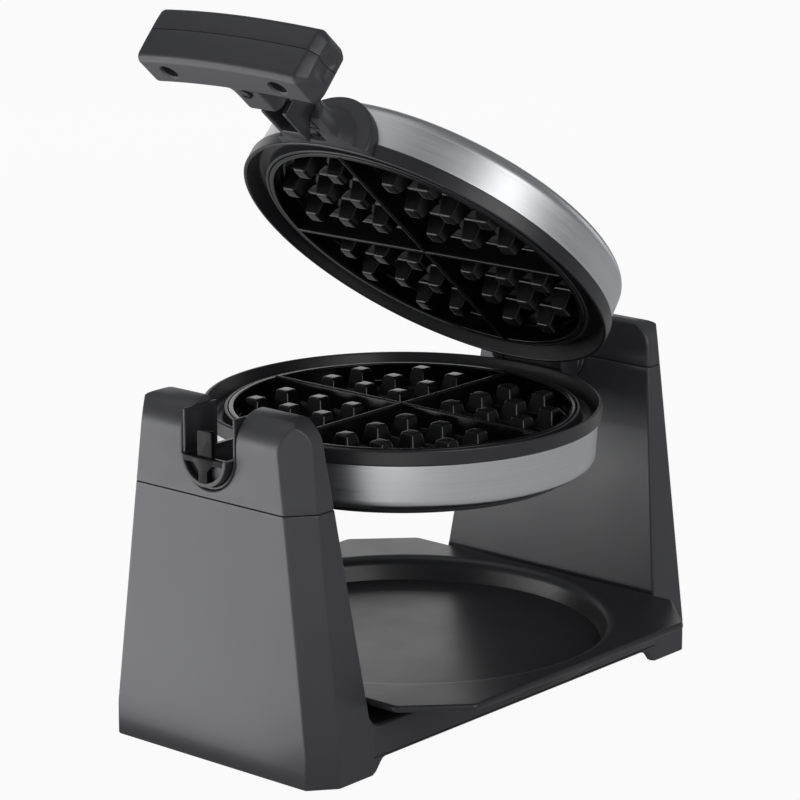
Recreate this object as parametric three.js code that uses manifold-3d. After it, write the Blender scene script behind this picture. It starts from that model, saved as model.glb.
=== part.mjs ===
// Turn-over waffle maker: a round hinged iron that turns between two towers over a drip tray.
// Millimetres, +Z up, +X towards the hinge tower, +Y away from the front. The origin is on the
// table under the middle of the whole length. The lid is open, and the handle points to -X.
import * as THREE from 'three';
import { mergeVertices } from 'three/addons/utils/BufferGeometryUtils.js';
import Module from 'manifold-3d';

const wasm = await Module();
wasm.setup();

// Fits
const FIT_GAP = 0.3;             // between pieces that are nested or fixed to each other
const RUN_GAP = 0.4;             // between pieces that turn or slide
const OVERRUN = 4;               // how far a cut runs past the face it opens
const MERGE_TOLERANCE = 1e-4;

// Stand
const STAND_LENGTH = 312;        // over both towers at the table
const STAND_DEPTH = 152;         // front to back at the table
const AXIS_HEIGHT = 161;         // turning axis and meeting plane
const TOWER_ABOVE_AXIS = 24;
const TOWER_HEIGHT = AXIS_HEIGHT + TOWER_ABOVE_AXIS;
const TOWER_TAPER = 41.3;        // how much less deep the sloping sides are at the top
const TOWER_TOP_DEPTH = STAND_DEPTH - TOWER_TAPER;
const UPRIGHT_HEIGHT = 18;       // front and back stay upright up to here
const OUTER_LEAN = 2;            // how far each outer face leans in
const TOWER_FOOT_THICK = 41;     // outer to inner face of a tower, at the table
const TOWER_TOP_THICK = 23.2;    // and at the top, before the outer face leans in
const INNER_FOOT = STAND_LENGTH / 2 - TOWER_FOOT_THICK;
const INNER_TOP = STAND_LENGTH / 2 - TOWER_TOP_THICK;
const TOP_ROUND = 17;            // outer top edge of a tower
const SHOULDER_ROUND = 15;       // front and back top edges of a tower
const INNER_BEVEL = 2.5;         // inner top edge of a tower
const CHAMFER_LONG = 13.3;       // corner chamfer along the length
const CHAMFER_DEEP = 10.8;       // and along the depth
const STAND_WALL = 3;
const DECK_TOP = 26.5;           // top of the beam between the towers
const DECK_FILLET = 12;
const SKIRT_LIFT = 0.8;          // housing edge above the table
const ARCH_TOP = 8.7;            // underside of the beam's front and back walls
const ARCH_SLANT = 6;            // length of the arch's slanted ends
const ARCH_HALF = INNER_FOOT - ARCH_SLANT;
const LEFT_SEAM_DROP = 22.5;     // left seam below the turning axis
const LEFT_SEAM = AXIS_HEIGHT - LEFT_SEAM_DROP;
const CURVE_STEPS = 5;           // steps in a quarter round

// Slot in the left tower
const SLOT_RADIUS = 18;
const SLOT_WALL = 2.6;
const LINER_WALL = 1.5;
const LINER_RISE = 12;           // liner above the turning axis

// Bottom plate, feet and screws
const PLATE_THICK = 2;
const PLATE_BOTTOM = 9.5;
const FOOT_RADIUS = 8;
const FOOT_FROM_END = 24;        // foot centres from the stand's ends
const FOOT_FROM_FACE = 20;       // and from its front and back
const FOOT_OUT = STAND_LENGTH / 2 - FOOT_FROM_END;
const FOOT_DEEP = STAND_DEPTH / 2 - FOOT_FROM_FACE;
const BOSS_RADIUS = 4.5;
const BOSS_FROM_TOWER = 27;
const BOSS_FROM_FACE = 21;
const BOSS_OUT = INNER_FOOT - BOSS_FROM_TOWER;
const BOSS_DEEP = STAND_DEPTH / 2 - BOSS_FROM_FACE;
const SCREW_RADIUS = 1.5;
const SCREW_HEAD_RADIUS = 3.2;
const SCREW_HEAD = 1.8;
const SCREW_LENGTH = 9;

// Mains side of the right tower
const INLET_HEIGHT = 22;
const INLET_FROM_END = 20;
const INLET_OUT = STAND_LENGTH / 2 - INLET_FROM_END;
const INLET_RADIUS = 6;
const INLET_BORE_RADIUS = 3.8;
const INLET_FLANGE_RADIUS = 8.5;
const INLET_FLANGE_THICK = 2.4;
const INLET_INSIDE = 4;          // inlet beyond the inside of the wall
const TERMINAL_LENGTH = 22;
const TERMINAL_DEPTH = 34;
const TERMINAL_HEIGHT = 14;
const LEAD_RADIUS = 2.6;

// Drip tray
const TRAY_OFFSET = -2.6;        // tray centre along the length
const TRAY_LENGTH = 2 * INNER_FOOT;
const TRAY_EXTRA_DEPTH = 8;
const TRAY_DEPTH = TRAY_LENGTH + TRAY_EXTRA_DEPTH;
const TRAY_CORNER = 28.6;
const TRAY_RIM_TOP = 40.5;
const TRAY_SHEET = 1.5;
const DISH_MARGIN = 3;           // tray rim beside the dish
const DISH_WALL_RUN = 8.5;       // how far the dish wall slopes in
const DISH_RADIUS = TRAY_LENGTH / 2 - DISH_MARGIN;
const DISH_FLOOR_RADIUS = DISH_RADIUS - DISH_WALL_RUN;

// Iron, measured from its centre and from the plane where its halves meet
const IRON_OFFSET = -7;          // iron centre along the length
const MEETING_GAP = 1;           // between the closed rims
const IRON_MARGIN = 51;          // from the rim to the stand's end
const RIM_RADIUS = STAND_LENGTH / 2 - IRON_MARGIN;
const RIM_BAND = 8;              // black band height
const LIP_THICK = 1.8;
const GUTTER_DEPTH = 9.7;
const GUTTER_FLOOR = 1.8;
const GUTTER_SLOPE = 3.4;        // how far the lip's inside slopes in, top to floor
const GUTTER_WIDTH = 11.6;       // from the rim's edge to the ring that holds the plate
const WELL_RADIUS = RIM_RADIUS - GUTTER_WIDTH;
const WELL_WALL = 1.8;
const WELL_TOP = 3;              // ring top below the meeting plane
const LEDGE_WIDTH = 3.6;
const LEDGE_THICK = 1.7;
const RIM_OVERHANG = 2;
const COVER_RADIUS = RIM_RADIUS - RIM_OVERHANG;
const COVER_SHEET = 1;
const COVER_TAPER = 1;
const COVER_HEIGHT = 24.3;
const COVER_ROUND = 8;
const LID_CROWN = 2;
const COVER_LIP = 3;             // flat turned-in edge of the lower cover
const CAP_OVERLAP = 2;
const CAP_THICK = 3.4;
const CAP_EDGE = 1.4;
const ROUND_SEGMENTS = 48;

// Waffle plates
const PLATE_RADIUS = WELL_RADIUS - WELL_WALL - FIT_GAP;
const PLATE_WALL = 2.8;
const PLATE_WALL_TOP = 2.6;
const PEG_TOP = 2;               // peg tops below the meeting plane
const PEG_HEIGHT = 11.5;
const PEG_PITCH = 23.5;
const PEG_FIRST = 18.5;          // first row from the divider
const PEG_TIP = 8;
const PEG_BASE = 14;
const PEG_ROWS = 4;
const PEG_MARGIN = 1.3;          // from the furthest kept peg corner to the plate's edge
const PEG_REACH = PLATE_RADIUS - PEG_MARGIN;
const DIVIDER_TIP = 1.6;
const DIVIDER_BASE = 6;
const CAST_THICK = 3;
const ROOT_SINK = 0.8;           // how far pegs and dividers root into the casting

// Heating parts
const HEATER_MARGIN = 31.3;      // from the plate's edge
const HEATER_RADIUS = PLATE_RADIUS - HEATER_MARGIN;
const HEATER_TUBE = 3.2;
const HEATER_GAP_ANGLE = 0.5;
const SHIELD_MARGIN = 7.3;       // from the plate's edge
const SHIELD_RADIUS = PLATE_RADIUS - SHIELD_MARGIN;
const SHIELD_SHEET = 0.8;
const THERMOSTAT_LENGTH = 18;
const THERMOSTAT_WIDTH = 12;
const THERMOSTAT_HEIGHT = 5;
const THERMOSTAT_OUT = 34;

// Hinge
const PIN_INSIDE_RIM = 0.75;
const HINGE_OUT = RIM_RADIUS - PIN_INSIDE_RIM;
const HINGE_RAISE = 15.2;        // pin above the meeting plane
const LID_OPEN = 41.5;           // degrees
const PIN_RADIUS = 2.5;
const KNUCKLE_RADIUS = 5.2;
const EAR_OUTER = 24;
const EAR_INNER = 17;
const EAR_THICK = 6.7;
const NOTCH_HALF = 25;
const NOTCH_TOP = 25.3;
const NOTCH_DEPTH = 7.4;
const BRACKET_PLATE = 1.8;
const YOKE_DEPTH = 13.3;
const YOKE_BELOW = 24;
const YOKE_ABOVE = 7;

// Turning shaft
const SHAFT_RADIUS = 12.4;
const SHAFT_BORE_RADIUS = 8;
const SHAFT_FLANGE_RADIUS = 17;
const SHAFT_FLANGE = 2.7;
const SHAFT_FROM_END = 10;       // end of the shaft from the stand's end
const SHAFT_END = STAND_LENGTH / 2 - SHAFT_FROM_END;
const BUSH_WALL = 2.5;
const BUSH_OUTSIDE = 4.8;        // bush before the tower's inner top edge
const BUSH_INSIDE = 2.7;         // and behind it
const BUSH_FROM = INNER_TOP - BUSH_OUTSIDE;
const BUSH_TO = INNER_TOP + BUSH_INSIDE;
const HOLE_FROM_END = 12;        // where the cut for the bush ends, from the stand's end
const BEARING_HOLE_END = STAND_LENGTH / 2 - HOLE_FROM_END;
const RETAINER_RADIUS = 17.5;
const RETAINER_LENGTH = 5;
const YOKE_SCREW_SPREAD = 19;

// Collar of the lower iron, in the slot
const COLLAR_RADIUS = 15.7;
const COLLAR_WALL = 2.5;
const COLLAR_SHORT = 4.5;        // short of half the stand's length, from the iron centre
const COLLAR_END = STAND_LENGTH / 2 - COLLAR_SHORT;
const PARTING = 0.6;             // each half stops this far from the meeting plane
const HUB_LENGTH = 4;
const HUB_RIB = 6;
const HUB_WEB = 3.4;
const TAB_WIDTH = 10;
const TAB_THICK = 2.6;
const TAB_RISE = 13;

// Neck of the lid
const NECK_RADIUS = 15.7;
const NECK_SHORT = 20.5;         // end of the neck short of the collar's end
const NECK_END = COLLAR_END - NECK_SHORT;
const FLANGE_RADIUS = 30;
const FLANGE_REACH = 1.5;        // beyond the rim, like the next one
const FLARE_REACH = 12;
const FLANGE_FACE = RIM_RADIUS + FLANGE_REACH;
const FLARE_END = RIM_RADIUS + FLARE_REACH;
const FLARE_STEPS = 4;
const NECK_RECESS_LENGTH = 9;
const NECK_RECESS_WIDTH = 12;
const NECK_RECESS_DEPTH = 2.4;
const NECK_SEGMENTS = 24;
const SMALL_SEGMENTS = 12;

// Handle
const STEM_WIDTH = 17;
const STEM_TALL = 16;
const STEM_WALL = 2.8;
const STEM_IN_NECK = 10;         // how far the stem starts inside the neck
const STEM_REACH = 34.5;         // end of the stem beyond the collar's end
const STEM_START = NECK_END - STEM_IN_NECK;
const STEM_END = COLLAR_END + STEM_REACH;
const STEM_SLANT = 8;
const WINDOW_BEFORE = 5.2;       // start of the stem's window before the collar's end
const SOCKET_BEYOND = 1.1;       // start of the grip's socket beyond the collar's end
const WINDOW_FROM = COLLAR_END - WINDOW_BEFORE;
const SOCKET_FROM = COLLAR_END + SOCKET_BEYOND;
const SOCKET_WALL = 2.6;
const GRIP_REACH = 33;           // grip centre beyond the collar's end, at the grip's ends
const GRIP_OUT = COLLAR_END + GRIP_REACH;
const GRIP_THICK = 23;
const GRIP_TALL = 30;
const GRIP_LENGTH = 112;
const GRIP_RAISE = 0.6;
const GRIP_CORNER = 5;
const GRIP_ARCH = 4;
const GRIP_WALL = 2.6;
const GRIP_PARTING = 1.5;
const GRIP_STATIONS = 6;
const GRIP_SCREW_SPREAD = 36;
const GRIP_SCREW_SEAT = 6;
const GRIP_HOLE_RADIUS = 3.4;
const SOCKET_SCREW_REACH = 16.5; // beyond the collar's end
const SOCKET_SCREW_OUT = COLLAR_END + SOCKET_SCREW_REACH;

// Indicator lamps on the lid
const LAMP_RADIUS = 1.9;
const LAMP_MARGIN = 13;          // from the cover's edge
const LAMP_OUT = COVER_RADIUS - LAMP_MARGIN;
const LAMP_SPREAD = 3;
const LAMP_MIDDLE = 4;
const LAMP_STEM = 3;
const LAMP_PROUD = 0.7;

// Solids
function toSolid(geometry) {
  const bare = geometry.clone();
  bare.deleteAttribute('normal');
  bare.deleteAttribute('uv');
  const merged = mergeVertices(bare, MERGE_TOLERANCE);
  const vertProperties = new Float32Array(merged.attributes.position.array);
  const corners = merged.index.array;
  const kept = [];
  for (let i = 0; i < corners.length; i += 3) {
    const [a, b, c] = [corners[i], corners[i + 1], corners[i + 2]];
    if (a !== b && b !== c && c !== a) kept.push(a, b, c);
  }
  const first = new THREE.Vector3();
  const second = new THREE.Vector3();
  const third = new THREE.Vector3();
  let volume = 0;
  for (let i = 0; i < kept.length; i += 3) {
    first.fromArray(vertProperties, kept[i] * 3);
    second.fromArray(vertProperties, kept[i + 1] * 3);
    third.fromArray(vertProperties, kept[i + 2] * 3);
    volume += first.dot(second.cross(third));
  }
  if (volume < 0) kept.reverse();
  const triVerts = new Uint32Array(kept);
  return new wasm.Manifold(new wasm.Mesh({ numProp: 3, vertProperties, triVerts }));
}

function toGeometry(solid) {
  const mesh = solid.getMesh();
  const geometry = new THREE.BufferGeometry();
  geometry.setAttribute('position', new THREE.BufferAttribute(mesh.vertProperties, 3));
  geometry.setIndex(new THREE.BufferAttribute(mesh.triVerts, 1));
  geometry.computeVertexNormals();
  return geometry;
}

const cut = (body, ...tools) => tools.reduce((left, tool) => left.subtract(tool), body);
const join = (...bodies) => bodies.reduce((sum, body) => sum.add(body));
const common = (...bodies) => bodies.reduce((sum, body) => sum.intersect(body));

function block(x0, x1, y0, y1, z0, z1) {
  const geometry = new THREE.BoxGeometry(x1 - x0, y1 - y0, z1 - z0);
  geometry.translate((x0 + x1) / 2, (y0 + y1) / 2, (z0 + z1) / 2);
  return toSolid(geometry);
}

// An outline run along an axis. It is drawn in [y, z] for x, and in [x, z] for y, where the run
// is the same length both ways from the middle, and in [x, y] for z.
function prism(outline, axis, from, to) {
  const shape = new THREE.Shape(outline.map(([u, v]) => new THREE.Vector2(u, v)));
  const geometry = new THREE.ExtrudeGeometry(shape, { depth: to - from, bevelEnabled: false });
  geometry.translate(0, 0, from);
  if (axis === 'x') {
    const turn = new THREE.Matrix4().makeBasis(
      new THREE.Vector3(0, 1, 0), new THREE.Vector3(0, 0, 1), new THREE.Vector3(1, 0, 0));
    geometry.applyMatrix4(turn);
  }
  if (axis === 'y') {
    const turn = new THREE.Matrix4().makeBasis(
      new THREE.Vector3(1, 0, 0), new THREE.Vector3(0, 0, 1), new THREE.Vector3(0, -1, 0));
    geometry.applyMatrix4(turn);
  }
  return toSolid(geometry);
}

// A rod along an axis; first and second are its centre in the other two axes, in order
function rod(axis, radius, from, to, first, second, segments = NECK_SEGMENTS) {
  const geometry = new THREE.CylinderGeometry(radius, radius, to - from, segments);
  geometry.translate(0, (from + to) / 2, 0);
  if (axis === 'x') {
    geometry.rotateZ(-Math.PI / 2);
    geometry.translate(0, first, second);
  }
  if (axis === 'y') geometry.translate(first, 0, second);
  if (axis === 'z') {
    geometry.rotateX(Math.PI / 2);
    geometry.translate(first, second, 0);
  }
  return toSolid(geometry);
}

// A closed outline of [radius, height] points turned about Z
function turned(outline, segments = ROUND_SEGMENTS) {
  const points = outline.map(([r, z]) => new THREE.Vector2(r, z));
  const onAxis = outline[0][0] === 0 && outline[outline.length - 1][0] === 0;
  if (!onAxis) points.push(points[0].clone());
  const geometry = new THREE.LatheGeometry(points, segments);
  geometry.rotateX(Math.PI / 2);
  return toSolid(geometry);
}

// A skin over rings of equal count, closed by flat ends
function lofted(rings) {
  const count = rings[0].length;
  const positions = rings.flat(2);
  const index = [];
  for (let ring = 0; ring < rings.length - 1; ring += 1) {
    for (let i = 0; i < count; i += 1) {
      const a = ring * count + i;
      const b = ring * count + (i + 1) % count;
      index.push(a, b, b + count, a, b + count, a + count);
    }
  }
  const last = (rings.length - 1) * count;
  for (let i = 1; i < count - 1; i += 1) {
    index.push(0, i + 1, i);
    index.push(last, last + i, last + i + 1);
  }
  const geometry = new THREE.BufferGeometry();
  geometry.setAttribute('position', new THREE.Float32BufferAttribute(positions, 3));
  geometry.setIndex(index);
  return toSolid(geometry);
}

function arc(cx, cy, radius, from, to, steps = CURVE_STEPS) {
  const points = [];
  for (let i = 0; i <= steps; i += 1) {
    const angle = from + (to - from) * i / steps;
    points.push([cx + radius * Math.cos(angle), cy + radius * Math.sin(angle)]);
  }
  return points;
}

// Materials
function plastic(color, roughness) {
  return new THREE.MeshStandardMaterial({ color, roughness, metalness: 0 });
}
function metal(color, roughness) {
  return new THREE.MeshStandardMaterial({ color, roughness, metalness: 1 });
}
const housingBlack = plastic(0x2b2b2e, 0.5);
const gripBlack = plastic(0x232326, 0.45);
const trayBlack = plastic(0x1d1d20, 0.55);
const rimBlack = plastic(0x161618, 0.4);
const nonStick = plastic(0x0e0e10, 0.28);
const rubberBlack = plastic(0x121212, 0.9);
const brushedSteel = metal(0xc4c4c6, 0.32);
const springSteel = metal(0x8b8d90, 0.4);
const heaterGrey = metal(0x5a5c5e, 0.6);
const blockWhite = plastic(0xd8d6cf, 0.6);
const lampAmber = plastic(0xb8561c, 0.25);
const lampGreen = plastic(0x3b8f3f, 0.25);

const model = new THREE.Group();
function add(parent, name, solid, material) {
  const mesh = new THREE.Mesh(toGeometry(solid), material);
  mesh.name = name;
  parent.add(mesh);
  return mesh;
}

// Stand shape: an outline from the front, an outline from the side, and chamfered corners
const HALF_LENGTH = STAND_LENGTH / 2;
const HALF_DEPTH = STAND_DEPTH / 2;
const HALF_TOP_DEPTH = TOWER_TOP_DEPTH / 2;
const SIDE_SLOPE = (HALF_DEPTH - HALF_TOP_DEPTH) / (TOWER_HEIGHT - UPRIGHT_HEIGHT);
const halfDepthAt = (z) => HALF_DEPTH - SIDE_SLOPE * Math.max(0, z - UPRIGHT_HEIGHT);
const outerAt = (z) => HALF_LENGTH - OUTER_LEAN * z / TOWER_HEIGHT;
const innerAt = (z) => INNER_FOOT + (INNER_TOP - INNER_FOOT) * z / TOWER_HEIGHT;

function frontOutline(inset) {
  const roundZ = TOWER_HEIGHT - TOP_ROUND;
  const top = arc(outerAt(roundZ) - TOP_ROUND, roundZ, TOP_ROUND - inset, 0, Math.PI / 2);
  const filletZ = DECK_TOP + DECK_FILLET;
  const filletX = innerAt(filletZ) - DECK_FILLET;
  const fillet = arc(filletX, filletZ, DECK_FILLET + inset, 0, -Math.PI / 2);
  const bottom = inset > 0 ? -OVERRUN : SKIRT_LIFT;
  const underTop = TOWER_HEIGHT - inset;
  const underBevel = TOWER_HEIGHT - INNER_BEVEL;
  const bevel = inset > 0 ? [[innerAt(underTop) + inset, underTop]]
    : [[innerAt(underTop) + INNER_BEVEL, underTop], [innerAt(underBevel), underBevel]];
  const half = [
    [outerAt(bottom) - inset, bottom],
    ...top,
    ...bevel,
    ...fillet,
  ];
  const arch = inset > 0 ? [] : [[-INNER_FOOT, SKIRT_LIFT], [-ARCH_HALF, ARCH_TOP],
    [ARCH_HALF, ARCH_TOP], [INNER_FOOT, SKIRT_LIFT]];
  const mirrored = half.map(([x, z]) => [-x, z]).reverse();
  return [...half, ...mirrored, ...arch];
}

function sideOutline(inset) {
  const tilt = Math.atan(SIDE_SLOPE);
  const roundZ = TOWER_HEIGHT - SHOULDER_ROUND;
  const reach = Math.cos(tilt) * HALF_DEPTH + Math.sin(tilt) * UPRIGHT_HEIGHT;
  const roundY = (reach - SHOULDER_ROUND - Math.sin(tilt) * roundZ) / Math.cos(tilt);
  const half = [
    [HALF_DEPTH - inset, -OVERRUN],
    [HALF_DEPTH - inset, UPRIGHT_HEIGHT],
    ...arc(roundY, roundZ, SHOULDER_ROUND - inset, tilt, Math.PI / 2),
  ];
  return [...half, ...half.map(([y, z]) => [-y, z]).reverse()];
}

function chamferedColumn(inset) {
  const span = Math.hypot(CHAMFER_LONG, CHAMFER_DEEP);
  const inX = inset * CHAMFER_DEEP / span;
  const inY = inset * CHAMFER_LONG / span;
  const rings = [-OVERRUN, UPRIGHT_HEIGHT, TOWER_HEIGHT + OVERRUN].map((z) => {
    const x = outerAt(z) - inX;
    const y = halfDepthAt(z) - inY;
    const corner = [[x + CHAMFER_LONG, y - 2 * CHAMFER_DEEP], [x - 2 * CHAMFER_LONG, y + CHAMFER_DEEP]];
    const flipped = [corner[1], corner[0]];
    return [
      ...corner.map(([u, v]) => [u, v, z]),
      ...flipped.map(([u, v]) => [-u, v, z]),
      ...corner.map(([u, v]) => [-u, -v, z]),
      ...flipped.map(([u, v]) => [u, -v, z]),
    ];
  });
  return lofted(rings);
}

function standSolid(inset) {
  const reach = HALF_LENGTH + OVERRUN;
  const deep = HALF_DEPTH + OVERRUN;
  return common(
    prism(frontOutline(inset), 'y', -deep, deep),
    prism(sideOutline(inset), 'x', -reach, reach),
    chamferedColumn(inset));
}

// The part of the stand's room on one side, and a little past the middle, between two heights
function standSlice(side, z0, z1) {
  const far = HALF_LENGTH + OVERRUN;
  const deep = HALF_DEPTH + OVERRUN;
  return side < 0 ? block(-far, OVERRUN, -deep, deep, z0, z1) : block(-OVERRUN, far, -deep, deep, z0, z1);
}

// The slot as a round-bottomed channel through the left tower
function slotChannel(radius, x0, x1, top) {
  const bottom = arc(0, AXIS_HEIGHT, radius, Math.PI, 2 * Math.PI, 2 * CURVE_STEPS);
  return prism([...bottom, [radius, top], [-radius, top]], 'x', x0, x1);
}

function buildStand(group) {
  const top = TOWER_HEIGHT + OVERRUN;
  const shell = cut(standSolid(0), standSolid(STAND_WALL));
  const slotFrom = -(HALF_LENGTH + OVERRUN);
  const slotTo = -(innerAt(LEFT_SEAM) - OVERRUN);
  const slot = slotChannel(SLOT_RADIUS, slotFrom, slotTo, top);
  const slotWall = common(slotChannel(SLOT_RADIUS + SLOT_WALL, slotFrom, slotTo, top), standSolid(0));
  const bearingSeat = SHAFT_RADIUS + RUN_GAP + BUSH_WALL + FIT_GAP;
  const bearingHole = rod('x', bearingSeat, INNER_FOOT, BEARING_HOLE_END, 0, AXIS_HEIGHT);
  const leftAbove = standSlice(-1, LEFT_SEAM + FIT_GAP, top);
  const rightAbove = standSlice(1, AXIS_HEIGHT + FIT_GAP, top);
  const below = join(standSlice(-1, -OVERRUN, LEFT_SEAM), standSlice(1, -OVERRUN, AXIS_HEIGHT));

  // Housing below the seams, with bosses for the bottom plate and the hole for the mains inlet
  const bosses = [];
  const bores = [];
  const screws = [];
  const seat = PLATE_BOTTOM - FIT_GAP;
  for (const x of [-BOSS_OUT, BOSS_OUT]) {
    for (const y of [-BOSS_DEEP, BOSS_DEEP]) {
      const foot = PLATE_BOTTOM + PLATE_THICK + FIT_GAP;
      bosses.push(rod('z', BOSS_RADIUS, foot, DECK_TOP - STAND_WALL / 2, x, y, SMALL_SEGMENTS));
      bores.push(rod('z', SCREW_RADIUS + FIT_GAP, -OVERRUN, DECK_TOP - STAND_WALL, x, y, SMALL_SEGMENTS));
      screws.push(join(
        rod('z', SCREW_HEAD_RADIUS, seat - SCREW_HEAD, seat, x, y, SMALL_SEGMENTS),
        rod('z', SCREW_RADIUS, seat - SCREW_HEAD, seat + SCREW_LENGTH, x, y, SMALL_SEGMENTS)));
    }
  }
  const inletHole = rod('y', INLET_RADIUS + FIT_GAP, HALF_DEPTH - STAND_WALL - OVERRUN,
    HALF_DEPTH + OVERRUN, INLET_OUT, INLET_HEIGHT);
  add(group, 'base_housing',
    cut(join(common(shell, below), ...bosses), ...bores, bearingHole, inletHole), housingBlack);
  add(group, 'left_tower_cap',
    cut(join(common(shell, leftAbove), common(slotWall, leftAbove)), slot), housingBlack);
  add(group, 'right_tower_cap', cut(common(shell, rightAbove), bearingHole), housingBlack);

  // Wear liner in the slot
  const linerOuter = SLOT_RADIUS - FIT_GAP;
  const linerFrom = -(outerAt(AXIS_HEIGHT) - FIT_GAP);
  const linerTo = -(innerAt(AXIS_HEIGHT) + FIT_GAP);
  const linerTop = AXIS_HEIGHT + LINER_RISE;
  add(group, 'cradle_liner', cut(slotChannel(linerOuter, linerFrom, linerTo, linerTop),
    slotChannel(linerOuter - LINER_WALL, linerFrom - OVERRUN, linerTo + OVERRUN, linerTop + OVERRUN)),
  rimBlack);

  // Bottom plate with its screws and feet
  const plateSlab = block(-HALF_LENGTH, HALF_LENGTH, -HALF_DEPTH, HALF_DEPTH,
    PLATE_BOTTOM, PLATE_BOTTOM + PLATE_THICK);
  add(group, 'bottom_plate',
    cut(common(standSolid(STAND_WALL + FIT_GAP), plateSlab), ...bores), rimBlack);
  screws.forEach((screw, i) => add(group, `bottom_screw_${i + 1}`, screw, springSteel));
  let footNumber = 0;
  for (const x of [-FOOT_OUT, FOOT_OUT]) {
    for (const y of [-FOOT_DEEP, FOOT_DEEP]) {
      footNumber += 1;
      add(group, `rubber_foot_${footNumber}`,
        rod('z', FOOT_RADIUS, 0, PLATE_BOTTOM - FIT_GAP, x, y), rubberBlack);
    }
  }

  // Bush that carries the turning shaft
  const bushInner = SHAFT_RADIUS + RUN_GAP;
  add(group, 'hub_bush', cut(
    rod('x', bushInner + BUSH_WALL, BUSH_FROM, BUSH_TO, 0, AXIS_HEIGHT),
    rod('x', bushInner, BUSH_FROM - OVERRUN, BUSH_TO + OVERRUN, 0, AXIS_HEIGHT)), springSteel);

  // Mains inlet, terminal block and the lead up to the shaft
  const inletOutside = HALF_DEPTH + FIT_GAP;
  const inletEnd = inletOutside + INLET_FLANGE_THICK;
  const inletInside = HALF_DEPTH - STAND_WALL - INLET_INSIDE;
  add(group, 'cord_inlet', cut(join(
    rod('y', INLET_RADIUS, inletInside, inletEnd, INLET_OUT, INLET_HEIGHT),
    rod('y', INLET_FLANGE_RADIUS, inletOutside, inletEnd, INLET_OUT, INLET_HEIGHT)),
  rod('y', INLET_BORE_RADIUS, inletInside - OVERRUN, inletEnd + OVERRUN, INLET_OUT, INLET_HEIGHT)),
  rubberBlack);
  const terminalFloor = PLATE_BOTTOM + PLATE_THICK + FIT_GAP;
  const terminalTop = terminalFloor + TERMINAL_HEIGHT;
  add(group, 'terminal_block', block(INLET_OUT - TERMINAL_LENGTH / 2, INLET_OUT + TERMINAL_LENGTH / 2,
    -TERMINAL_DEPTH / 2, TERMINAL_DEPTH / 2, terminalFloor, terminalTop), blockWhite);
  const leadX = SHAFT_END - LEAD_RADIUS;
  const leadTop = AXIS_HEIGHT - RETAINER_RADIUS - RUN_GAP;
  add(group, 'inner_lead',
    rod('z', LEAD_RADIUS, terminalTop + FIT_GAP, leadTop, leadX, 0, SMALL_SEGMENTS), rubberBlack);
}

function buildTray(group) {
  const x = TRAY_LENGTH / 2;
  const y = TRAY_DEPTH / 2;
  const c = TRAY_CORNER;
  const outline = [[x - c, -y], [x, -y + c], [x, y - c], [x - c, y], [-x + c, y], [-x, y - c],
    [-x, -y + c], [-x + c, -y]];
  const floorBottom = DECK_TOP + FIT_GAP;
  const floorTop = floorBottom + TRAY_SHEET;
  const rimBottom = TRAY_RIM_TOP - TRAY_SHEET;
  const rise = (TRAY_RIM_TOP - floorTop) / (DISH_RADIUS - DISH_FLOOR_RADIUS);
  const above = OVERRUN / rise;
  const outer = turned([[0, floorBottom], [DISH_FLOOR_RADIUS + TRAY_SHEET / 2, floorBottom],
    [DISH_RADIUS + TRAY_SHEET, rimBottom], [DISH_RADIUS + TRAY_SHEET, TRAY_RIM_TOP], [0, TRAY_RIM_TOP]]);
  const inner = turned([[0, floorTop], [DISH_FLOOR_RADIUS, floorTop],
    [DISH_RADIUS + above, TRAY_RIM_TOP + OVERRUN], [0, TRAY_RIM_TOP + OVERRUN]]);
  add(group, 'drip_tray',
    cut(join(prism(outline, 'z', rimBottom, TRAY_RIM_TOP), outer), inner), trayBlack);
  group.position.x = TRAY_OFFSET;
}

// One half of the iron, drawn with the meeting plane at zero and its back upwards
const GUTTER_BACK = GUTTER_DEPTH + GUTTER_FLOOR;
const CAST_BACK = PEG_TOP + PEG_HEIGHT + CAST_THICK;
const COVER_BACK = RIM_BAND + COVER_HEIGHT;

function rimSolid() {
  const wellInner = WELL_RADIUS - WELL_WALL;
  const ledgeTop = CAST_BACK + FIT_GAP;
  const throat = COVER_RADIUS - COVER_TAPER - COVER_SHEET - FIT_GAP;
  return turned([
    [RIM_RADIUS - LIP_THICK, 0],
    [RIM_RADIUS, 0],
    [RIM_RADIUS, RIM_BAND],
    [throat, RIM_BAND],
    [throat, GUTTER_BACK],
    [WELL_RADIUS, GUTTER_BACK],
    [WELL_RADIUS, ledgeTop + LEDGE_THICK],
    [wellInner - LEDGE_WIDTH, ledgeTop + LEDGE_THICK],
    [wellInner - LEDGE_WIDTH, ledgeTop],
    [wellInner, ledgeTop],
    [wellInner, WELL_TOP],
    [WELL_RADIUS, WELL_TOP],
    [WELL_RADIUS, GUTTER_DEPTH],
    [RIM_RADIUS - LIP_THICK - GUTTER_SLOPE, GUTTER_DEPTH],
  ]);
}

function coverSolid(closedTop) {
  const edge = RIM_BAND + FIT_GAP;
  const roundR = COVER_RADIUS - COVER_TAPER - COVER_ROUND;
  const roundZ = COVER_BACK - COVER_ROUND;
  const outside = arc(roundR, roundZ, COVER_ROUND, 0, Math.PI / 2);
  const inside = arc(roundR, roundZ, COVER_ROUND - COVER_SHEET, Math.PI / 2, 0);
  if (closedTop) {
    return turned([[0, COVER_BACK - COVER_SHEET + LID_CROWN], ...inside,
      [COVER_RADIUS - COVER_SHEET, edge], [COVER_RADIUS, edge], ...outside,
      [0, COVER_BACK + LID_CROWN]]);
  }
  const lip = roundR - COVER_LIP;
  return turned([[COVER_RADIUS - COVER_SHEET, edge], [COVER_RADIUS, edge], ...outside,
    [lip, COVER_BACK], [lip, COVER_BACK - COVER_SHEET], ...inside]);
}

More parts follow.
